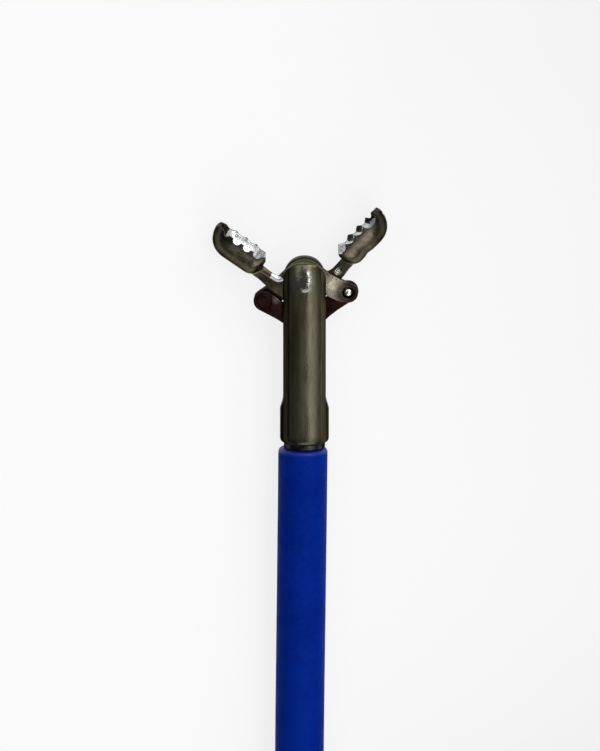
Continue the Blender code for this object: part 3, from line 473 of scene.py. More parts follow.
FORK_STEEL = steel(
    "fork_steel", (0.13, 0.112, 0.066), (0.185, 0.172, 0.118), (0.24, 0.33), 1, (1, 6, 1),
    swell=1.5, strip=True, peened=0.032,
)
RIVET_STEEL = steel(
    "rivet_steel", (0.13, 0.112, 0.066), (0.19, 0.175, 0.125), (0.22, 0.32), 1,
    swell=1.5, peened=0.032,
)
JAW_STEEL = steel(
    "jaw_steel", (0.11, 0.093, 0.062), (0.18, 0.165, 0.118), (0.24, 0.36), 3, swell=2.5, rim=True,
    # Painted shade on the cup's outside, by the heel and round the eye; painted light on the tail
    # by the fork; a painted glint by the back shank's dimple.
    painted_light_and_shade=(
        ((-1.35, 3.9, 0), 0.2, 0.75, 0.75, (0.02, 0.019, 0.015)),
        ((-1.5, 2.9, 0), 0.1, 0.8, 0.7, (0.04, 0.038, 0.032)),
        ((-0.8, 4.75, 0), 0.3, 0.85, 0.7, (0.022, 0.022, 0.018)),
        ((-0.75, 1.35, 0), 0.3, 0.9, 0.7, (0.06, 0.045, 0.032)),
        ((0.35, -1.2, 0), 0.35, 0.8, 0.9, (0.22, 0.208, 0.16)),
        (EYE, 0.40, 0.80, 0.9, (0.035, 0.024, 0.022)),
        ((-0.85, 1.36, 0.03), 0.06, 0.22, 0.9, (0.85, 0.85, 0.75)),
    ),
    crown=(-0.2, -0.9, 0),
)
# Pale steel painted on the cups' insides and the shanks' scoops: a painted reflection and painted
# highlight.
PAINTED_REFLECTION_STEEL = steel(
    "painted_reflection_steel", (0.72, 0.73, 0.74), (0.88, 0.89, 0.90), (0.16, 0.3), 4,
    relief=0.004, swell=2, metallic=0.55,
)
STUD_STEEL = steel("stud_steel", (0.6, 0.6, 0.6), (0.8, 0.8, 0.8), (0.14, 0.26), 8)
LINK_STEEL = steel(
    "link_steel", (0.022, 0.008, 0.007), (0.05, 0.024, 0.021), (0.28, 0.42), 5,
    # A painted highlight: a lighter crescent beside the stud's round end.
    painted_light_and_shade=(((0.43, 0.36, 0), 0.04, 0.26, 0.85, (0.22, 0.185, 0.165)),),
)
ROD_STEEL = steel("rod_steel", (0.45, 0.45, 0.43), (0.62, 0.62, 0.60), (0.25, 0.4), 6)
FERRULE_STEEL = steel("ferrule_steel", (0.03, 0.03, 0.03), (0.07, 0.07, 0.07), (0.25, 0.4), 7)


def sheath_look():
    """Matt blue coating, glossier at its cut edge."""
    look = Look("sheath_plastic", (0.0008, 0.018, 0.24), 0.0, 0.5)
    cloud = look.noise(0.5, 5, (1, 1, 2), 21, 0.6)
    fine = look.noise(4.0, 3, (1, 1, 1), 22, 0.6)
    tone = look.math("ADD", look.times(cloud, 0.6), look.times(fine, 0.4))
    share = look.ranged(tone, 0.35, 0.65, 0, 1)
    colour = look.mix(share, (0.0005, 0.0155, 0.222), (0.001, 0.022, 0.28))
    gloss = look.ranged(look.noise(1.5, 3, (1, 1, 1), 23), 0.3, 0.7, 0.42, 0.56)
    small = look.bump(look.noise(9, 3, (1, 1, 1), 24), 0.004)
    wave = look.bump(look.noise(0.8, 2, (1, 1, 1), 25), 0.02, small)
    shine = look.along("Y", HEAD.y - 8.2, HEAD.y - 8.0, 0.02, 0.5)
    return look.set(Base_Color=colour, Roughness=gloss, Specular_IOR_Level=shine, Normal=wave)


SHEATH = sheath_look()
BOOT_RUBBER = plastic("boot_rubber", (0.045, 0.048, 0.052), 0.6, 5.0, 0.02, seed=31)
COLLAR_PLASTIC = plastic("collar_plastic", (0.07, 0.075, 0.08), 0.42, 4.0, 0.012, seed=32)
STEM_PLASTIC = plastic("stem_plastic", (0.70, 0.71, 0.72), 0.42, 3.0, 0.012, seed=33, shift=0.03)
SPOOL_PLASTIC = plastic("spool_plastic", (0.004, 0.022, 0.20), 0.4, 3.0, 0.015, seed=34)
SCREW_STEEL = steel("screw_steel", (0.40, 0.40, 0.39), (0.55, 0.55, 0.54), (0.22, 0.36), seed=35)
CLAMP_STEEL = steel("clamp_steel", (0.42, 0.42, 0.41), (0.56, 0.56, 0.55), (0.28, 0.42), seed=36)
TUBE_STEEL = steel(
    "tube_steel", (0.5, 0.5, 0.49), (0.62, 0.62, 0.61), (0.18, 0.3), seed=37, streak=(1, 8, 1)
)


def fabric_look():
    """A woven band: waves along each axis make the weave on every face, with a fuzz over it."""
    sheen = {"Sheen_Weight": 0.3, "Sheen_Roughness": 0.5}
    look = Look("tie_fabric", (0.06, 0.064, 0.068), 0.0, 0.85, **sheen)
    place = look.node("Mapping", {"Vector": look.coordinates, "Scale": [1 / MM] * 3})
    sockets = {"Vector": place.outputs[0], "Scale": 1.1, "Distortion": 0.6, "Detail": 1.0}
    waves = [
        look.node("TexWave", sockets, wave_type="BANDS", bands_direction=way).outputs["Fac"]
        for way in ("X", "Y", "Z")
    ]
    weave = look.times(look.math("MAXIMUM", waves[0], waves[2]), waves[1])
    height = look.math("ADD", weave, look.times(look.noise(6, 3, (1, 1, 1), 41), 0.5))
    share = look.ranged(height, 0.2, 1.1, 0, 1)
    colour = look.mix(share, (0.035, 0.037, 0.04), (0.085, 0.09, 0.096))
    return look.set(Base_Color=colour, Normal=look.bump(height, 0.08))


TIE_FABRIC = fabric_look()


# Placing


def piece(made, name, looks, body, nodes, place, turn=(0, 0, 0), sharp=40):
    """A finished piece: scaled to metres, dressed, in its place and riding on its body."""
    made.name = name
    mesh = made.data
    mesh.name = name
    mesh.transform(Matrix.Scale(MM, 4))
    mesh.materials.clear()
    for look in looks:
        mesh.materials.append(look.made)
    mesh.shade_smooth()
    if sharp:
        mesh.set_sharp_from_angle(angle=math.radians(sharp))
    made.location = Vector(place) * MM
    made.rotation_euler = turn
    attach(made, body)
    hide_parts(*nodes)


# Head


def round_bar(name, radius, top):
    """The fork's round: domed, thinner at the top and rounded at the foot."""
    thinner, waist, steps = 0.07, -0.15, 12
    high = [
        (radius - thinner - DOME_ROUND + x, top - DOME_ROUND + y)
        for x, y in arc(0, 0, DOME_ROUND, 90, 8, 12)
    ]
    start = high[-1][1]
    for i in range(1, steps + 1):
        along = start - (start - waist) * i / steps
        high.append((radius - thinner * (1 - i / steps) ** 2, along))
    low = [
        (radius - 0.1 + x / 2, FORK_BOTTOM + 0.2 + y) for x, y in arc(0, 0, 0.2, 0, -90, 8)
    ]
    return turned(name, [(0, top), *high, *low, (0, FORK_BOTTOM)], steps=192)


def make_fork():
    top, wide, low, far = FLATS_HALF, BAR_R + 0.05, FORK_BOTTOM - 0.5, 1.5
    bar = round_bar("bar", BAR_R, top)
    side = []
    for i in range(25):
        out = (wide - FLATS_HALF) * math.sin(math.pi / 48 * i) ** 2
        side.append((FLATS_HALF + out, FLATS_END - FLATS_RUNOUT * i / 24))
    side.append((wide, low))
    front = arc(0, 0, FLATS_HALF, 0, 180, 72) + [(-x, y) for x, y in side] + side[::-1]
    boolean(bar, "INTERSECT", plate("front", [front], -far, far))
    dome = FLATS_HALF - 0.015
    right = math.degrees(math.acos(STRIP_RIGHT / dome))
    left = math.degrees(math.acos(STRIP_LEFT / dome))
    outline = arc(0, 0, dome, right, left, 48) + [(STRIP_LEFT, low), (STRIP_RIGHT, low)]
    strip = round_bar("strip", STRIP_R, top)
    boolean(strip, "INTERSECT", plate("strip_front", [outline], -far, far))
    boolean(bar, "UNION", strip)
    bore_top, socket_top = SLOT_BOTTOM + 0.2, FERRULE_TOP + FIT
    bore = [(0, bore_top), (ROD_BORE_R, bore_top), (ROD_BORE_R, socket_top)]
    bore += [(FERRULE_NECK_R + FIT, socket_top), (FERRULE_NECK_R + FIT, low), (0, low)]
    slot = box("slot", (-3, SLOT_BOTTOM, -SLOT_HALF), (3, 3, SLOT_HALF))
    boolean(bar, "DIFFERENCE", slot, turned("bore", bore))
    bevelled(bar, 0.022, 2, 30)
    boolean(bar, "DIFFERENCE", cylinder("hole", RIVET_R + 0.005, -2, 2, steps=96))
    piece(bar, "fork_body", [FORK_STEEL], "root", ["fork"], HEAD, sharp=50)


def make_rivet():
    shank = cylinder("shank", RIVET_R, -2, 2, steps=96)
    boolean(shank, "INTERSECT", round_bar("round", STRIP_R, FLATS_HALF))
    bevelled(shank, 0.006, 2, 30)
    piece(shank, "rivet", [RIVET_STEEL], "root", ["hinge_rivet"], HEAD)


def cup_profile(shrink, heel_wall):
    """A cup's outline, or its hollow's, from a blunt nose to a rounded heel."""
    radius, blunt, heel_round = CUP_DEPTH - shrink, 0.86, 0.55
    nose_at = CUP_TIP - CUP_NOSE
    nose = [
        (max(x, 0) ** blunt * radius, nose_at + max(y, 0) ** blunt * (CUP_NOSE - shrink))
        for x, y in arc(0, 0, 1, 90, 0, 24)
    ]
    nose[0] = (0, nose[0][1])
    heel = CUP_HEEL + heel_wall
    round_end = [
        (radius - heel_round * (1 - x), heel + heel_round * (1 + y))
        for x, y in arc(0, 0, 1, 0, -90, 12)
    ]
    return nose + round_end + [(0, heel)]


def jaw_outline():
    """The flat of a jaw: shank, hub and tail, round the hinge."""
    eye_x, eye_y, _ = EYE
    end = CUP_HEEL + CUP_WALL + 0.1
    knots = [
        (-0.53, end), (-0.55, CUP_HEEL * 0.85), (-0.55, CUP_HEEL * 0.62), (-0.39, HUB_R * 1.1),
        (-0.04, HUB_R), (HUB_R * 0.55, HUB_R * 0.82), (HUB_R, HUB_R * 0.38),
        (0.94, -HUB_R * 0.15), (0.96, -HUB_R * 0.7), (0.98, -HUB_R * 1.3),
        (1.08, eye_y + EYE_R * 0.7), *arc(eye_x, eye_y, EYE_R, -8, -165, 7),
        (0.11, eye_y + EYE_R * 0.3), (0.04, -HUB_R * 1.7), (-0.04, -HUB_R * 1.2),
        (-HUB_R * 0.45, -HUB_R * 0.9), (-HUB_R * 0.95, -HUB_R * 0.45),
        (-1.15, HUB_R * 0.15), (-1.21, HUB_R * 0.9), (-1.19, CUP_HEEL * 0.68),
        (-1.13, CUP_HEEL * 0.9), (-1.09, end), (-0.84, end + 0.08),
    ]
    return smooth_loop(knots, 6)


def scallop_edge():
    """The rim with round bites."""
    edge = [(SCALLOP_X, 0)]
    for middle, radius in SCALLOPS:
        bite = arc(SCALLOP_X - 0.005, middle, radius, -90, -270, 20)
        edge += [(SCALLOP_X, middle - radius), *bite, (SCALLOP_X, middle + radius)]
    return [*edge, *NOSE_RIM]


def wave_edge(tip, crests, gaps):
    """The rim with rounded teeth. Each gap is a depth and a power, which is low for a wide gap."""
    edge = [(tip, 0)]
    for low, high, (deep, power) in zip(crests, crests[1:], gaps):
        for i in range(16):
            t = i / 16
            edge.append((tip - deep * math.sin(math.pi * t) ** power, low + (high - low) * t))
    return [*edge, (tip, crests[-1]), (tip, WAVES_END), *NOSE_RIM]


def edge_cutter(name, edge, low, high):
    """What lies beyond an edge of the rim, between two heights."""
    outline = edge + [(CUP_DEPTH, edge[-1][1]), (CUP_DEPTH, edge[0][1])]
    return plate(name, [outline], low, high)


def capsule(name, start, end, radius):
    """A bar with round ends."""
    start, end = Vector(start), Vector(end)
    length = (end - start).length
    profile = [(x, length + y) for x, y in arc(0, 0, radius, 90, 0, 12)]
    profile += [(x, y) for x, y in arc(0, 0, radius, 0, -90, 12)]
    profile[0], profile[-1] = (0, length + radius), (0, -radius)
    made = turned(name, profile, steps=64)
    way = (end - start).to_track_quat("Y", "Z").to_matrix().to_4x4()
    made.data.transform(Matrix.Translation(start) @ way)
    return made


def jaw_mesh(high_edge, low_edge, waist=0.0, dimple=None):
    """One jaw, closed, with its flat in the upper layer and an edge for each wall of its cup."""
    far, wall = 2.5, 0.3
    cup = turned("cup", cup_profile(0, 0), steps=160)
    hollow = turned("hollow", cup_profile(CUP_WALL, CUP_WALL), steps=160)
    for made in (cup, hollow):
        made.data.transform(Matrix.Diagonal((1, 1, CUP_FLATTEN, 1)))
    boolean(cup, "DIFFERENCE", box("half", (-0.02, -9, -9), (9, 9, 9)))
    flat = plate("flat", [jaw_outline()], PLATE_IN, PLATE_OUT)
    boolean(flat, "UNION", cup)
    heel_round, nose_round = 0.42, 0.2
    low, high, past = CUP_HEEL + heel_round, CUP_TIP - 0.25, CUP_TIP + 0.2
    heel = arc(-heel_round, low, heel_round, -90, 0, 16)
    heel += [(CUP_DEPTH, low), (CUP_DEPTH, 0), (-0.48, 0), (-0.48, CUP_HEEL - 0.03)]
    nose = arc(-0.22, high, nose_round, 80, 0, 12)
    nose += [(CUP_DEPTH, high), (CUP_DEPTH, past), (-0.42, past)]
    scoop, scoop_r = (-0.40, 1.16, 0.55), 0.42
    boolean(
        flat,
        "DIFFERENCE",
        hollow,
        edge_cutter("high_edge", high_edge, wall, far),
        edge_cutter("low_edge", low_edge, -far, -wall),
        plate("heel", [heel], -far, far),
        plate("nose", [nose], -far, far),
        cylinder("eye", STUD_R + FIT, -2, 2, at=EYE),
        capsule("scoop", scoop, (-0.40, 1.80, 0.55), scoop_r),
        capsule("scoop", scoop, (-0.16, 0.98, 0.55), scoop_r),
    )
    boolean(flat, "UNION", cylinder("disc", 0.95, PLATE_IN, PLATE_OUT, steps=128))
    boolean(flat, "DIFFERENCE", cylinder("rivet_hole", RIVET_R + FIT, -2, 2))
    if dimple:
        end = Vector(dimple) + Vector((0, 0.12, 0))
        boolean(flat, "DIFFERENCE", capsule("dimple", dimple, end, 0.13))
    melted(flat, 0.022, 3)
    for vertex in flat.data.vertices:
        x, y = vertex.co.xy
        side = min(max((-x - 0.3) / 0.7, 0), 1)
        vertex.co.x += waist * side * math.exp(-(((y - 2.98) / 0.22) ** 2))
    return flat


def tooth_root(y):
    """How deep the cup's inside stays dark, above its painted reflection: to the teeth's roots,
    and little in the gaps.
    """
    share = abs(math.cos(math.pi * (y - TOOTH) / TOOTH_STEP)) ** 1.5
    if y > LAST_TOOTH:
        share = 0.76
    return -0.1 - 0.34 * share


def paint_reflection(made, rim, end):
    """The scoop, and the cup's inside below its rim and up to an end, take the second finish,
    which is a painted reflection and highlight.
    """
    inner = CUP_DEPTH - CUP_WALL + 0.05
    for face in made.data.polygons:
        x, y, z = face.center / MM
        normal = face.normal
        painted_bright = False
        if CUP_HEEL + 0.1 < y < end and math.hypot(x, z / CUP_FLATTEN) < inner:
            out = Vector((x, 0, z / CUP_FLATTEN**2)).normalized()
            side = normal.dot(out) < 0.25
            nose = y > CUP_TIP - 0.7 and normal.y < 0
            heel = y < CUP_HEEL + CUP_WALL + 0.12 and normal.y > 0.3
            below = normal.x < 0.93 and (x < rim(y) or y < CUP_HEEL + 0.6)
            painted_bright = below and (side or nose or heel)
        facing = normal.z > 0.25 and normal.x > 0.3
        scoop = facing and z < PLATE_OUT - 0.02 and 0.75 < y < 1.42 and -0.85 < x < 0.2
        # Painted reflection inside the cup and painted highlight on the scoop.
        if painted_bright or scoop:
            face.material_index = 1


def make_jaws():
    """The front cup has scallops and low waves, and the back one teeth and a wide mouth."""
    low_waves = wave_edge(RIM_X, [*WAVES, 4.335], [(0.10, 0.8)] + [(0.09, 0.8)] * 3)
    front = jaw_mesh(scallop_edge(), low_waves)
    tips = [2.2, TOOTH, TOOTH + TOOTH_STEP, LAST_TOOTH, 4.27]
    teeth = wave_edge(TOOTH_X, tips, [(0.16, 1.4)] * 3 + [(0.17, 0.9)])
    mouth = wave_edge(RIM_X, [*WAVES, 4.49], [(0.24, 0.8)] + [(0.19, 0.8)] * 2 + [(0.34, 0.5)])
    back = jaw_mesh(teeth, mouth, waist=0.05, dimple=(-0.85, 1.32, -0.03))
    # The second look is the painted reflection of the cups' insides and scoops.
    looks = [JAW_STEEL, PAINTED_REFLECTION_STEEL]
    turn = (0, 0, FRONT_OPEN)
    piece(front, "jaw_front", looks, "front_jaw", ["front_jaw"], HEAD, turn, 0)
    turn = (0, math.pi, -BACK_OPEN)
    piece(back, "jaw_back", looks, "back_jaw", ["back_jaw"], HEAD, turn, 0)
    paint_reflection(front, lambda y: -0.08, 4.12)
    paint_reflection(back, tooth_root, CUP_TIP)


def eye_place(side, opening):
    """An opened jaw's eye from the hinge, to the right for side 1 and to the left for -1."""
    angle = EYE_ANGLE + opening
    return Vector((side * EYE_ARM * math.cos(angle), EYE_ARM * math.sin(angle), 0))


def slim_bar(radius_a, arm, radius_b, length, count):
    """The outline of a bar with two round ends and a slimmer arm."""
    near, far = length * 0.4, length * 0.6
    lean_a = math.degrees(math.asin((radius_a - arm) / near))
    lean_b = math.degrees(math.asin((radius_b - arm) / (length - far)))
    return (
        arc(0, 0, radius_a, 90 - lean_a, 270 + lean_a, count)
        + [(near, -arm), (far, -arm)]
        + arc(length, 0, radius_b, -90 - lean_b, 90 + lean_b, count)
        + [(far, arm), (near, arm)]
    )


def make_links():
    """Two links alike, each with its stud. The right one is turned over."""
    outline = slim_bar(0.48, 0.40, 0.5, LINK_LENGTH, 48)
    hole = arc(LINK_LENGTH, 0, LINK_HOLE_R, 0, 355, 71)
    bar = plate("bar", [outline, hole], PLATE_OUT - LINK_THICK, PLATE_OUT)
    bevelled(bar, 0.07, 3, 60)
    stud_end, stud_top, cap_r = -0.33, 0.26, 0.27
    cap = arc(0, stud_end + cap_r, cap_r, -90, -22, 8)
    cap[0] = (0, cap[0][1])
    stud = turned("stud", [*cap, (STUD_R, stud_top), (0, stud_top)], steps=96)
    ring = [(0.32, 0.28), (0.38, 0.28), (0.38, 0.5), (0.32, 0.5)]
    groove = turned("groove", ring, steps=96, closed=True)
    for made in (stud, groove):
        made.data.transform(Matrix.Rotation(math.pi / 2, 4, "X"))
    boolean(bar, "UNION", stud)
    boolean(bar, "DIFFERENCE", groove)
    melted(bar, 0.02, 3)
    other = linked("other", bar.data.copy())
    pin = Vector((0, ROD_PIN_Y, 0))
    looks = [LINK_STEEL, STUD_STEEL]
    place = eye_place(-1, BACK_OPEN)
    way = pin - place
    turn = (0, 0, math.atan2(way.y, way.x))
    place = HEAD + place
    piece(bar, "link_left", looks, "left_link", ["left_link"], place, turn, 0)
    place = eye_place(1, FRONT_OPEN)
    way = pin - place
    turn = (0, math.pi, math.atan2(-way.y, -way.x))
    place = HEAD + place
    piece(other, "link_right", looks, "right_link", ["right_link"], place, turn, 0)
    for made in (bar, other):
        for face in made.data.polygons:
            if face.center.z < 0.05 * MM:
                face.material_index = 1


def make_ferrule():
    wide, step, low = 0.96, -7.64, -7.91
    profile = [
        (ROD_BORE_R, FERRULE_TOP), (FERRULE_NECK_R, FERRULE_TOP), (FERRULE_NECK_R, step),
        (wide, step), (wide, low), (ROD_BORE_R, low),
    ]
    made = turned("ferrule", filleted(profile, 0.05, closed=True), steps=128, closed=True)
    piece(made, "ferrule", [FERRULE_STEEL], "root", ["sheath_ferrule"], HEAD)


# Sheath


def spaced(route, places):
    """Points at the given lengths along a fine route."""
    found = []
    walked = 0.0
    ahead = iter(places)
    want = next(ahead)
    for a, b in zip(route, route[1:]):
        step = (b - a).length
        while want is not None and want <= walked + step + 1e-9:
            found.append(a.lerp(b, (want - walked) / step))
            want = next(ahead, None)
        walked += step
    return found


def length_of(route):
    return sum((b - a).length for a, b in zip(route, route[1:]))


def coil_point(turn):
    """Where the sheath is after so many turns of the coil.

    Four rings make a layer. Before each full turn the sheath shifts to the next ring.
    """
    start, shift, rings = 0.22, 0.16, 4
    ring = math.floor(turn + start)
    t = min(max((turn - (ring - start)) / shift, 0), 1)
    t = t * t * (3 - 2 * t)
    places = []
    for number in (ring - 1, ring):
        number = min(max(number, 0), rings * rings - 1)
        layer, across = divmod(number, rings)
        inward = 2 * SHEATH_R * across
        radius = OUTER_TURN - inward if layer % 2 == 0 else INNER_TURN + inward
        places.append((radius, COIL.z + SHEATH_R + 2 * SHEATH_R * layer))
    (r0, z0), (r1, z1) = places
    radius, z = r0 + (r1 - r0) * t, z0 + (z1 - z0) * t
    angle = math.pi + math.tau * turn
    return Vector((COIL.x + radius * math.cos(angle), COIL.y + radius * math.sin(angle), z))


def sheath_route():
    """The sheath's middle line, and its radius there as a share of SHEATH_R."""
    x, y, z = HEAD
    low = COIL.z + SHEATH_R
    high = low + 6 * SHEATH_R
    end = COIL.y + COIL_CLEAR
    lead = [
        (x - 0.07, y - 7.95, z), (x - 0.10, y - 11, z - 0.02), (x - 0.16, y - 16, z - 0.03),
        (x - 0.22, y - 21, z + 0.05), (x - 0.27, y - 27, z + 0.30), (x - 0.30, end, low),
    ]
    off = Matrix.Rotation(math.radians(COIL_LEAVE), 2)
    leave = off @ Vector((OUTER_TURN, COIL_CLEAR)) + COIL.xy
    entry = HANDLE.y - 2
    tail = []
    for u in (0, 0.25, 0.5, 0.75, 1):
        sink = u * u * (3 - 2 * u)
        along = leave.y + u * (entry - leave.y)
        tail.append((leave.x * (1 - u) ** 2, along, high + sink * (HANDLE.z - high)))
    tail.append((0, HANDLE.y + 4, HANDLE.z))
    edge = 0.17
    rim = [0.0, 0.02, 0.05, 0.10, edge]
    fine = smooth_route(lead, 60)
    total = length_of(fine)
    count = 15
    steps = rim + [edge + (total - edge) * i / count for i in range(1, count + 1)]
    steps[-1] = total - 1e-6
    route = spaced(fine, steps)
    radii = [(SHEATH_R - edge + math.sqrt(edge**2 - (edge - s) ** 2)) / SHEATH_R for s in rim]
    for i in range(1, 4):
        route.append(Vector((COIL.x - OUTER_TURN, end + (COIL.y - end) * i / 4, low)))
    per_turn = 30
    count = round(COIL_TURNS * per_turn)
    route += [coil_point(COIL_TURNS * i / count) for i in range(count + 1)]
    for i in range(1, 4):
        place = off @ Vector((OUTER_TURN, COIL_CLEAR * i / 4)) + COIL.xy
        route.append(Vector((*place, high)))
    fine = smooth_route(tail, 60)
    total = length_of(fine)
    route += spaced(fine, [total * i / 9 for i in range(9)] + [total - 1e-6])
    radii += [1.0] * (len(route) - len(radii))
    return route, radii


def make_sheath():
    route, radii = sheath_route()
    curve = bpy.data.curves.new("sheath", "CURVE")
    curve.dimensions = "3D"
    curve.bevel_depth = SHEATH_R * MM
    curve.bevel_resolution = 10
    curve.resolution_u = 3
    curve.use_fill_caps = True
    spline = curve.splines.new("BEZIER")
    spline.bezier_points.add(len(route) - 1)
    last = len(route) - 1
    for i, (point, place) in enumerate(zip(spline.bezier_points, route)):
        before, after = route[max(i - 1, 0)], route[min(i + 1, last)]
        back, ahead = (place - before).length, (after - place).length
        if back and ahead:
            way = ((place - before) / back * ahead + (after - place) / ahead * back).normalized()
        else:
            way = (after - before).normalized()
        point.handle_left_type = point.handle_right_type = "FREE"
        point.co = place * MM
        point.handle_left = (place - way * back / 3) * MM
        point.handle_right = (place + way * ahead / 3) * MM
        point.radius = radii[i]
    curve.materials.append(SHEATH.made)
    made = linked("sheath", curve)
    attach(made, "root")
    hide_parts("sheath_lead", "sheath_coil", "sheath_tail")


def rounded_box(low_x, low_y, high_x, high_y, corner, count=6):
    return (
        arc(high_x - corner, high_y - corner, corner, 0, 90, count)
        + arc(low_x + corner, high_y - corner, corner, 90, 180, count)
        + arc(low_x + corner, low_y + corner, corner, 180, 270, count)
        + arc(high_x - corner, low_y + corner, corner, 270, 360, count)
    )


def make_ties():
    """Woven bands, each with its end lapped over on the outside."""
    hole = INNER_TURN - SHEATH_R
    half = 4 * SHEATH_R
    inward = -half - CORD_GAP - hole + math.sqrt(hole**2 - TIE_HALF**2)
    top = COIL_TOP + COIL_LOW + CORD_GAP
    inner = rounded_box(inward, TIE_THICK, half + CORD_GAP, top, 1.15)
    outer = rounded_box(inward - TIE_THICK, 0, half + COIL_LOW, top + TIE_THICK, 1.5)
    for number, turn in enumerate((0.25, 0.72), 1):
        band = plate("band", [outer, inner], -TIE_HALF, TIE_HALF)
        lap = rounded_box(half + 0.66, 2.6, half + 1.06, 7.4, 0.19, 4)
        lap = plate("lap", [lap], -2.3, 2.3)
        joint = box("joint", (half + 0.5, 5.6, -2.2), (half + 0.8, 7.0, 2.2))
        boolean(band, "UNION", lap, joint)
        bevelled(band, 0.1, 2, 40)
        angle = turn * math.tau
        place = (COIL.x + COIL_MEAN * math.cos(angle), COIL.y + COIL_MEAN * math.sin(angle), 0)
        name, node, upright = f"tie_{number}", f"coil_tie_{number}", (math.pi / 2, 0, angle)
        piece(band, name, [TIE_FABRIC], "root", [node], place, upright)


# Handle


def make_boot():
    taper, sleeve, end, tip, flare, ribs = 17.0, 19, 21, 2.1, 1.1, 5
    outside = [(1.7, 0), (tip, 0.4)]
    step = (taper - 6) / ribs
    for i in range(ribs):
        at = 3 + i * step
        radius = tip + flare * at / taper
        outside += [
            (radius, at), (radius - 0.35, at + 0.25 * step), (radius - 0.35, at + 0.45 * step),
            (radius + 0.1, at + 0.7 * step),
        ]
    outside += [(3.2, taper), (3.2, sleeve), (4.0, sleeve), (4.0, end)]
    profile = outside + [(TUBE_BORE_R, end), (TUBE_BORE_R, 5), (1.4, 5), (1.4, 0)]
    made = turned("boot", filleted(profile, 0.3, closed=True), steps=96, closed=True)
    piece(made, "boot", [BOOT_RUBBER], "root", ["strain_relief"], HANDLE)


def make_collar():
    front, back, wide, deep, count = 17.35, 25.35, 5.6, 0.6, 12
    profile = [
        (4.25, back), (5.1, back), (wide, back - 0.5), (wide, front + 1.0),
        (4.6, front), (3.45, front), (3.45, front + 1.4), (4.25, front + 1.4),
    ]
    made = turned("collar", filleted(profile, 0.2, closed=True), steps=180, closed=True)
    flute = [(0, front + 1.5), (deep, front + 2.1), (deep, back - 1.5), (0, back - 0.9)]
    grooves = []
    for i in range(count):
        groove = turned("groove", filleted(flute, 0.5), steps=24)
        groove.data.transform(Matrix.Translation((5.85, 0, 0)))
        groove.data.transform(Matrix.Rotation(math.tau * i / count, 4, "Y"))
        grooves.append(groove)
    boolean(made, "DIFFERENCE", *grooves)
    bevelled(made, 0.06, 2, 30)
    piece(made, "collar", [COLLAR_PLASTIC], "root", ["lock_collar"], HANDLE)


def make_stem():
    nose, end = 21.25, 79.25
    radius, nose_r, slot_r = 5.0, 4.0, 1.5
    ring_r, ring_hole, ring_half = 14.5, 10.3, 3.5
    shoulder = nose + 4.45
    shaft = [
        (0, end), (4.5, end), (radius, end - 0.5), (radius, shoulder + 0.5), (4.5, shoulder),
        (nose_r, shoulder), (nose_r, nose), (0, nose),
    ]
    stem = turned("stem", filleted(shaft, 0.4), steps=128)
    ring_at = end + ring_r
    section = rounded_box(ring_hole, -ring_half, ring_r, ring_half, 1.6, 8)
    ring = turned("ring", section, steps=160, closed=True)
    ring.data.transform(Matrix.Rotation(math.pi / 2, 4, "X"))
    ring.data.transform(Matrix.Translation((0, ring_at, 0)))
    side = [(3.6, end - 8), (4.6, end - 3), (5.6, end + 0.5), (8.99, end + 3.4)]
    loop = side + [(0, ring_at - 12.4)] + [(-x, y) for x, y in reversed(side)]
    neck = bevelled(plate("neck", [loop], -3.22, 3.22), 0.9, 4, 60)
    boolean(stem, "UNION", neck, ring)
    slot_low = SPOOL_AT + KEY_LOW - SLIDE_GAP
    slot_high = slot_low + (KEY_HIGH - KEY_LOW) + SPOOL_TRAVEL + 2 * SLIDE_GAP
    slot = arc(0, slot_high - 0.5, slot_r, 0, 180, 24)
    slot += arc(0, slot_low + 0.5, slot_r, 180, 360, 24)
    low, high = nose - 1, slot_low + 2
    bore = turned("bore", [(0, high), (TUBE_BORE_R, high), (TUBE_BORE_R, low), (0, low)])
    boolean(stem, "DIFFERENCE", plate("slot", [slot], -10, 10), bore)
    melted(stem, 0.26, 3)
    piece(stem, "stem", [STEM_PLASTIC], "root", ["handle_stem"], HANDLE, sharp=0)


def spool_shape():
    """The spool unsplit, wider than it is high."""
    length, flange, edge = 25.0, 3.4, 1.0
    wide, rim, waist_r, stretch = 9.3, 8.7, 6.1, 1.6
    high = [(wide - edge + x, length - edge + y) for x, y in arc(0, 0, edge, 90, 0, 8)]
    low = [(x, length - y) for x, y in reversed(high)]
    high.append((wide, length - flange + 0.5))
    waist = []
    for i in range(41):
        t = i / 40
        radius = rim - (rim - waist_r) * math.sin(math.pi * t) ** 0.55
        waist.append((radius, length - flange + (2 * flange - length) * t))
    profile = [(0, length), *high, *waist, (wide, flange - 0.5), *low, (0, 0)]
    made = turned("spool", profile, steps=128)
    made.data.transform(Matrix.Diagonal((stretch, 1, 1, 1)))
    return made


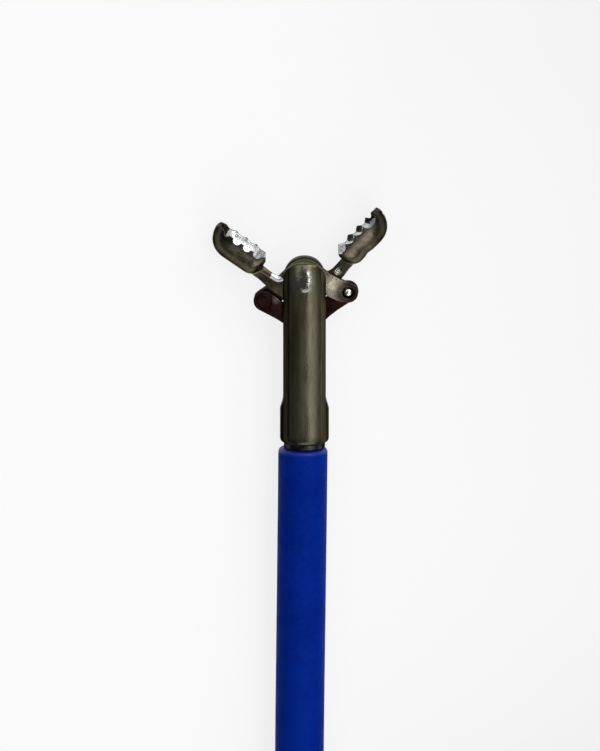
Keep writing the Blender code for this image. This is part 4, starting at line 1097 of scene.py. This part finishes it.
def make_spool():
    """Two halves, both made as the upper one, with their screws and pin."""
    place = HANDLE + Vector((0, SPOOL_AT, 0))
    halves = (("spool_upper", "spool_top", True), ("spool_lower", "spool_bottom", False))
    for name, node, heads in halves:
        half = spool_shape()
        boolean(half, "INTERSECT", box("part", (-30, -30, 0.1), (30, 30, HANDLE.z)))
        bore = [(0, 50), (5.25, 50), (5.25, -25), (0, -25)]
        boolean(half, "DIFFERENCE", turned("bore", bore, steps=128))
        key = box("key", (-KEY_HALF, KEY_LOW, 1.45), (KEY_HALF, KEY_HIGH, 5.75))
        boolean(half, "UNION", key)
        holes = [cylinder("pin", PIN_HOLE_R, 0, 5.35, at=(0, PIN_Y))]
        for at in SCREWS:
            if heads:
                holes.append(cylinder("head", SCREW_HEAD_R + 0.25, SCREW_HEAD_LOW, 30, at=at))
            holes.append(cylinder("hole", SCREW_R + FIT, 0, 2.85, at=at))
        boolean(half, "DIFFERENCE", *holes)
        melted(half, 0.2, 2)
        turn = (0, 0 if heads else math.pi, 0)
        piece(half, name, [SPOOL_PLASTIC], "spool", [node], place, turn, 0)
    low, wide = SCREW_HEAD_LOW, SCREW_HEAD_R
    profile = [
        (0, low + FIT), (wide, low + FIT), (wide, low + 0.8), (1.1, low + 1.1), (0, low + 1.1)
    ]
    for number, (x, y) in enumerate(SCREWS, 1):
        shank = cylinder("shank", SCREW_R, -2.6, low + 0.3)
        head = turned("head", filleted(profile, 0.2), steps=64)
        head.data.transform(Matrix.Rotation(math.pi / 2, 4, "X"))
        boolean(shank, "UNION", head)
        arms = ((0.85, 0.16), (0.16, 0.85))
        cuts = [box("slot", (-a, -b, low + 0.6), (a, b, 9)) for a, b in arms]
        boolean(shank, "DIFFERENCE", *cuts)
        bevelled(shank, 0.04, 2, 30)
        name, node, at = f"screw_{number}", f"spool_screw_{number}", place + Vector((x, y, 0))
        turn = (0, 0, 0.7 * number)
        piece(shank, name, [SCREW_STEEL], "spool", [node], at, turn)
    pin = cylinder("pin", PIN_R, -5.1, 5.1)
    bevelled(pin, 0.08, 2, 30)
    at = place + Vector((0, PIN_Y, 0))
    piece(pin, "cross_pin", [SCREW_STEEL], "spool", ["spool_pin"], at)


def make_pull():
    half, length = 1.2, 7
    radius, hole, end, start = 0.8, 0.5, 2.98, -17.02
    place = HANDLE + Vector((0, 41.0, 0))
    clamp = bevelled(box("clamp", (-half, 0, -half), (half, length, half)), 0.2, 3)
    bore = turned("bore", [(0, 3), (radius + FIT, 3), (radius + FIT, -1), (0, -1)])
    boolean(clamp, "DIFFERENCE", bore, cylinder("pin", PIN_HOLE_R, -2, 2, at=(0, 5)))
    piece(clamp, "clamp", [CLAMP_STEEL], "spool", ["wire_clamp"], place)
    profile = [(hole, end), (radius, end), (radius, start), (hole, start)]
    tube = turned("tube", filleted(profile, 0.06, closed=True), steps=64, closed=True)
    piece(tube, "wire_tube", [TUBE_STEEL], "spool", ["pull_tube"], place)


def dress_rod():
    """The rod's end and pin keep their CAD solids: they lie in the fork's slot."""
    for node in ("rod_end", "rod_pin"):
        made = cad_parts[node]
        made.data.materials.clear()
        made.data.materials.append(ROD_STEEL.made)


# Stage


def make_floor():
    """A pale floor, nearly white to the camera and in reflections."""
    work = bmesh.new()
    bmesh.ops.create_grid(work, x_segments=1, y_segments=1, size=3.0)
    floor = from_work("floor", work)
    look = Look("floor", [0.95] * 3, 0.0, 0.9, Specular_IOR_Level=0.1)
    rays = look.nodes.new("ShaderNodeLightPath")
    seen = look.math("MAXIMUM", rays.outputs["Is Camera Ray"], rays.outputs["Is Glossy Ray"])
    seen = look.math("MAXIMUM", seen, rays.outputs["Is Transmission Ray"])
    white = look.node("Emission", {"Color": (1, 1, 1, 1), "Strength": 1.0})
    share = look.times(seen, 0.8)
    both = look.node("MixShader", {0: share, 1: look.shader.outputs[0], 2: white.outputs[0]})
    look.links.new(both.outputs[0], look.nodes["Material Output"].inputs["Surface"])
    floor.data.materials.append(look.made)


def lamp(name, way, width, height, radiance):
    """A soft box in a direction from the head, facing it, of a given radiance."""
    data = bpy.data.lights.new(name, "AREA")
    data.shape = "RECTANGLE"
    data.size, data.size_y = width, height
    data.energy = math.pi * width * height * radiance
    made = bpy.data.objects.new(name, data)
    bpy.context.scene.collection.objects.link(made)
    way = Vector(way).normalized()
    across = (Vector((1, 0, 0)) - way * way.x).normalized()
    turn = Matrix((across, way.cross(across), way)).transposed().to_4x4()
    made.matrix_world = Matrix.Translation(HEAD * MM + way * LAMP_AWAY) @ turn


def make_light():
    world = bpy.data.worlds.new("studio")
    world.use_nodes = True
    background = world.node_tree.nodes["Background"]
    background.inputs["Color"].default_value = (1, 1, 1, 1)
    background.inputs["Strength"].default_value = WORLD_LIGHT
    bpy.context.scene.world = world
    for name, given in LAMPS.items():
        lamp(name, *given)


def make_camera():
    """The photograph's view: down on the head, and tilted a little towards the sheath."""
    look = Vector((0, -math.sin(CAMERA_TILT), -math.cos(CAMERA_TILT)))
    up = Vector((0, math.cos(CAMERA_TILT), -math.sin(CAMERA_TILT)))
    right = look.cross(up)
    place = HEAD + CAMERA_AIM - look * CAMERA_AWAY
    data = bpy.data.cameras.new("camera")
    data.sensor_fit = "VERTICAL"
    data.lens = data.sensor_height / 2 / math.tan(CAMERA_FIELD / 2)
    data.clip_start = 0.001
    made = bpy.data.objects.new("camera", data)
    bpy.context.scene.collection.objects.link(made)
    turn = Matrix((right, up, -look)).transposed().to_4x4()
    made.matrix_world = Matrix.Translation(place * MM) @ turn
    bpy.context.scene.camera = made


make_camera()
make_sheath()
make_fork()
make_rivet()
make_jaws()
make_links()
make_ferrule()
make_ties()
make_boot()
make_collar()
make_stem()
make_spool()
make_pull()
dress_rod()
make_floor()
make_light()
bpy.context.scene.view_settings.view_transform = "Standard"

bpy.context.view_layer.update()
